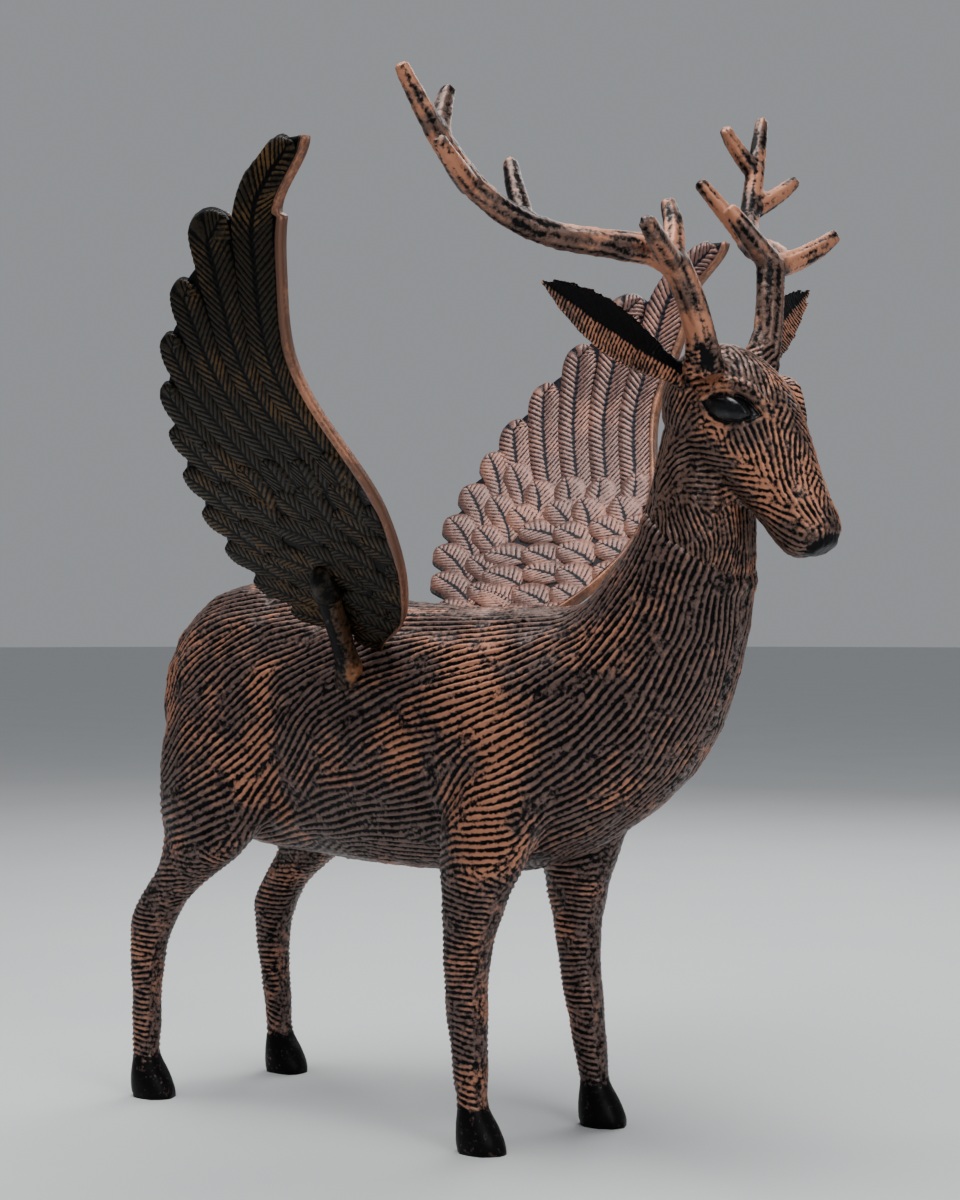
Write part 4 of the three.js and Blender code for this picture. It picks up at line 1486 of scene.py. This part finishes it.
    def stub(self) -> bpy.types.Object:
        """Makes the boss on the plate's outside, a rough round stub."""
        sides, steps = 40, 24
        centres = np.array([place for place, _ in self.boss])
        radii = np.array([radius for _, radius in self.boss])
        run = unit(centres[-1] - centres[0])
        first = unit(np.cross(run, [0.0, 0.0, 1.0]))
        second = np.cross(run, first)
        points = []
        for i in range(steps):
            share = 2 * i / (steps - 1)
            centre = [np.interp(share, (0, 1, 2), centres[:, axis]) for axis in range(3)]
            dome = max(share - 0.9, 0.0) / 1.1
            radius = np.interp(share, (0, 1, 2), radii) * max(math.sqrt(1.0 - dome**2), 0.05)
            for j in range(sides):
                angle = TURN * j / sides
                points.append(centre + radius * (math.cos(angle) * first + math.sin(angle) * second))
        ring = np.arange(sides)
        after = np.roll(ring, -1)
        faces = []
        for i in range(steps - 1):
            base = i * sides
            belt = np.stack([ring, after, after + sides, ring + sides], axis=1)
            faces += (belt + base).tolist()
        faces += [ring[::-1].tolist(), (ring + (steps - 1) * sides).tolist()]
        points = np.array(points) * np.array([1.0, -1.0, 1.0])
        points = self.clear_of_inside(points)
        points[:, 1] *= self.side.value
        mesh = solid("boss", points, faces)
        store(mesh, "relief", 0.2 + 0.8 * cloud(points, 6.0, 8))
        # the boss takes the outer face's finish, darkened as painted shade
        mesh.materials.append(bpy.data.materials[OUTER_SHADED.name])
        return linked("boss", mesh)

    def build(self) -> bpy.types.Object:
        """Makes the wing, finished and riding on the frame."""
        finishes = [bpy.data.materials.get(finish.name) or finish.build() for finish in (OUTER_SHADED, INNER, RIM)]
        wing = self.plate()
        for finish in finishes:
            wing.data.materials.append(finish)
        parts = [wing, self.stub(), self.feathers(1, finishes[0]), self.feathers(-1, finishes[1])]
        with bpy.context.temp_override(active_object=wing, selected_editable_objects=parts):
            bpy.ops.object.join()
        wing.data.shade_smooth()
        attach(wing, BODY)
        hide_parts(f"wing_{self.side.name.lower()}")
        log.info("%s: %d faces", wing.name, len(wing.data.polygons))
        return wing


@dataclass
class Strut(Casting):
    """A bar that props a wing off the flank, with a rough flared foot."""

    node: str = "wing_strut_right"
    slot: str = "wing_finish"
    finish: CastFinish = PROP
    voxel: float = 2.2
    rounds: int = 5
    levels: int = 0
    triangles: int = 30000

    def carve(self, mesh: bpy.types.Mesh) -> None:
        """Roughens the bar, and its foot the most."""
        points, normals = read(mesh)
        foot = smoothstep(530, 505, points[:, 2])
        rough = cloud(points, 5.0, 3) - 0.5
        points += normals * (rough * (0.8 + 2.6 * foot))[:, None]
        write(mesh, points)
        facet = smoothstep(0.2, 0.8, normals[:, 0])
        store(mesh, "relief", 0.25 + 0.45 * facet + 0.3 * foot + 0.5 * rough)


# ---- studio --------------------------------------------------------------------------------------


@dataclass
class Studio:
    """A pale floor, soft lights and the camera."""

    floor_radius: float = 30.0
    mottle: float = 333.0  # size of a blot in the floor's paint, in millimetres
    azimuth: float = math.radians(36.45)  # from which the camera sees the stag
    distance: float = 2.5175
    height: float = 0.58
    lens: float = 67.86
    shift: float = 0.005
    world: str = "#dfe3e8"

    def build(self) -> None:
        """Makes the floor, the world, the lights and the camera."""
        self.floor()
        self.sky()
        self.light("key", (-0.3, -0.5, 3.4), 2.2, 130.0)
        self.light("fill", (3.2, -1.2, 1.8), 1.4, 45.0)
        self.light("back", (-0.6, 2.8, 2.6), 2.2, 60.0)
        self.camera()

    def floor(self) -> None:
        """Makes a matt painted floor, of even pale grey with a faint mottle."""
        disc = bmesh.new()
        bmesh.ops.create_circle(disc, cap_ends=True, radius=self.floor_radius, segments=64)
        mesh = bpy.data.meshes.new("floor")
        disc.to_mesh(mesh)
        disc.free()
        floor = linked("floor", mesh)
        # matt emulsion on concrete: takes soft shadows, with a mottle too faint to draw the eye
        material = bpy.data.materials.new("matt_painted_floor")
        material.use_nodes = True
        shader = material.node_tree.nodes["Principled BSDF"]
        shader.inputs["Roughness"].default_value = 0.85
        put = partial(add, material.node_tree)
        place = put("ShaderNodeTexCoord", output="Object")
        noise = put(NOISE, {"Vector": place, "Scale": 1 / (self.mottle * MM), "Detail": 4.0}, "Fac")
        shades = {0: noise, 6: linear("#c9cbcc"), 7: linear("#d2d3d3")}
        material.node_tree.links.new(put(MIX, shades, 2, data_type="RGBA"), shader.inputs["Base Color"])
        mesh.materials.append(material)

    def sky(self) -> None:
        """Lights the studio evenly from all round."""
        world = bpy.data.worlds.new("studio")
        world.use_nodes = True
        world.node_tree.nodes["Background"].inputs["Color"].default_value = linear(self.world)
        world.node_tree.nodes["Background"].inputs["Strength"].default_value = 0.4
        bpy.context.scene.world = world

    def light(self, name: str, place: Point, size: float, power: float) -> None:
        """Adds a soft square light that faces the middle of the stag."""
        lamp = bpy.data.lights.new(name, "AREA")
        lamp.size = size
        lamp.energy = power
        obj = linked(name, lamp)
        obj.location = place
        aim = Vector((0.0, 0.0, 0.6)) - Vector(place)
        obj.rotation_euler = aim.to_track_quat("-Z", "Y").to_euler()

    def camera(self) -> None:
        """Sets the camera, level and at the height of the stag's back."""
        lens = bpy.data.cameras.new("camera")
        lens.lens = self.lens
        lens.shift_y = self.shift
        obj = linked("camera", lens)
        zero = STAG_ZERO[0] * MM
        obj.location = (
            self.distance * math.sin(self.azimuth) + zero,
            -self.distance * math.cos(self.azimuth),
            self.height,
        )
        obj.rotation_euler = (math.pi / 2, 0.0, self.azimuth)
        bpy.context.scene.camera = obj


def main() -> None:
    """Builds the castings in order, then the studio."""
    logging.basicConfig(level=logging.INFO, format="%(message)s")
    StagBody().build()
    StagHead().build()
    for side in Side:
        name = side.name.lower()
        Wing(side).build()
        Strut(node=f"wing_strut_{name}").build()
    Studio().build()


if __name__ == "__main__":
    main()
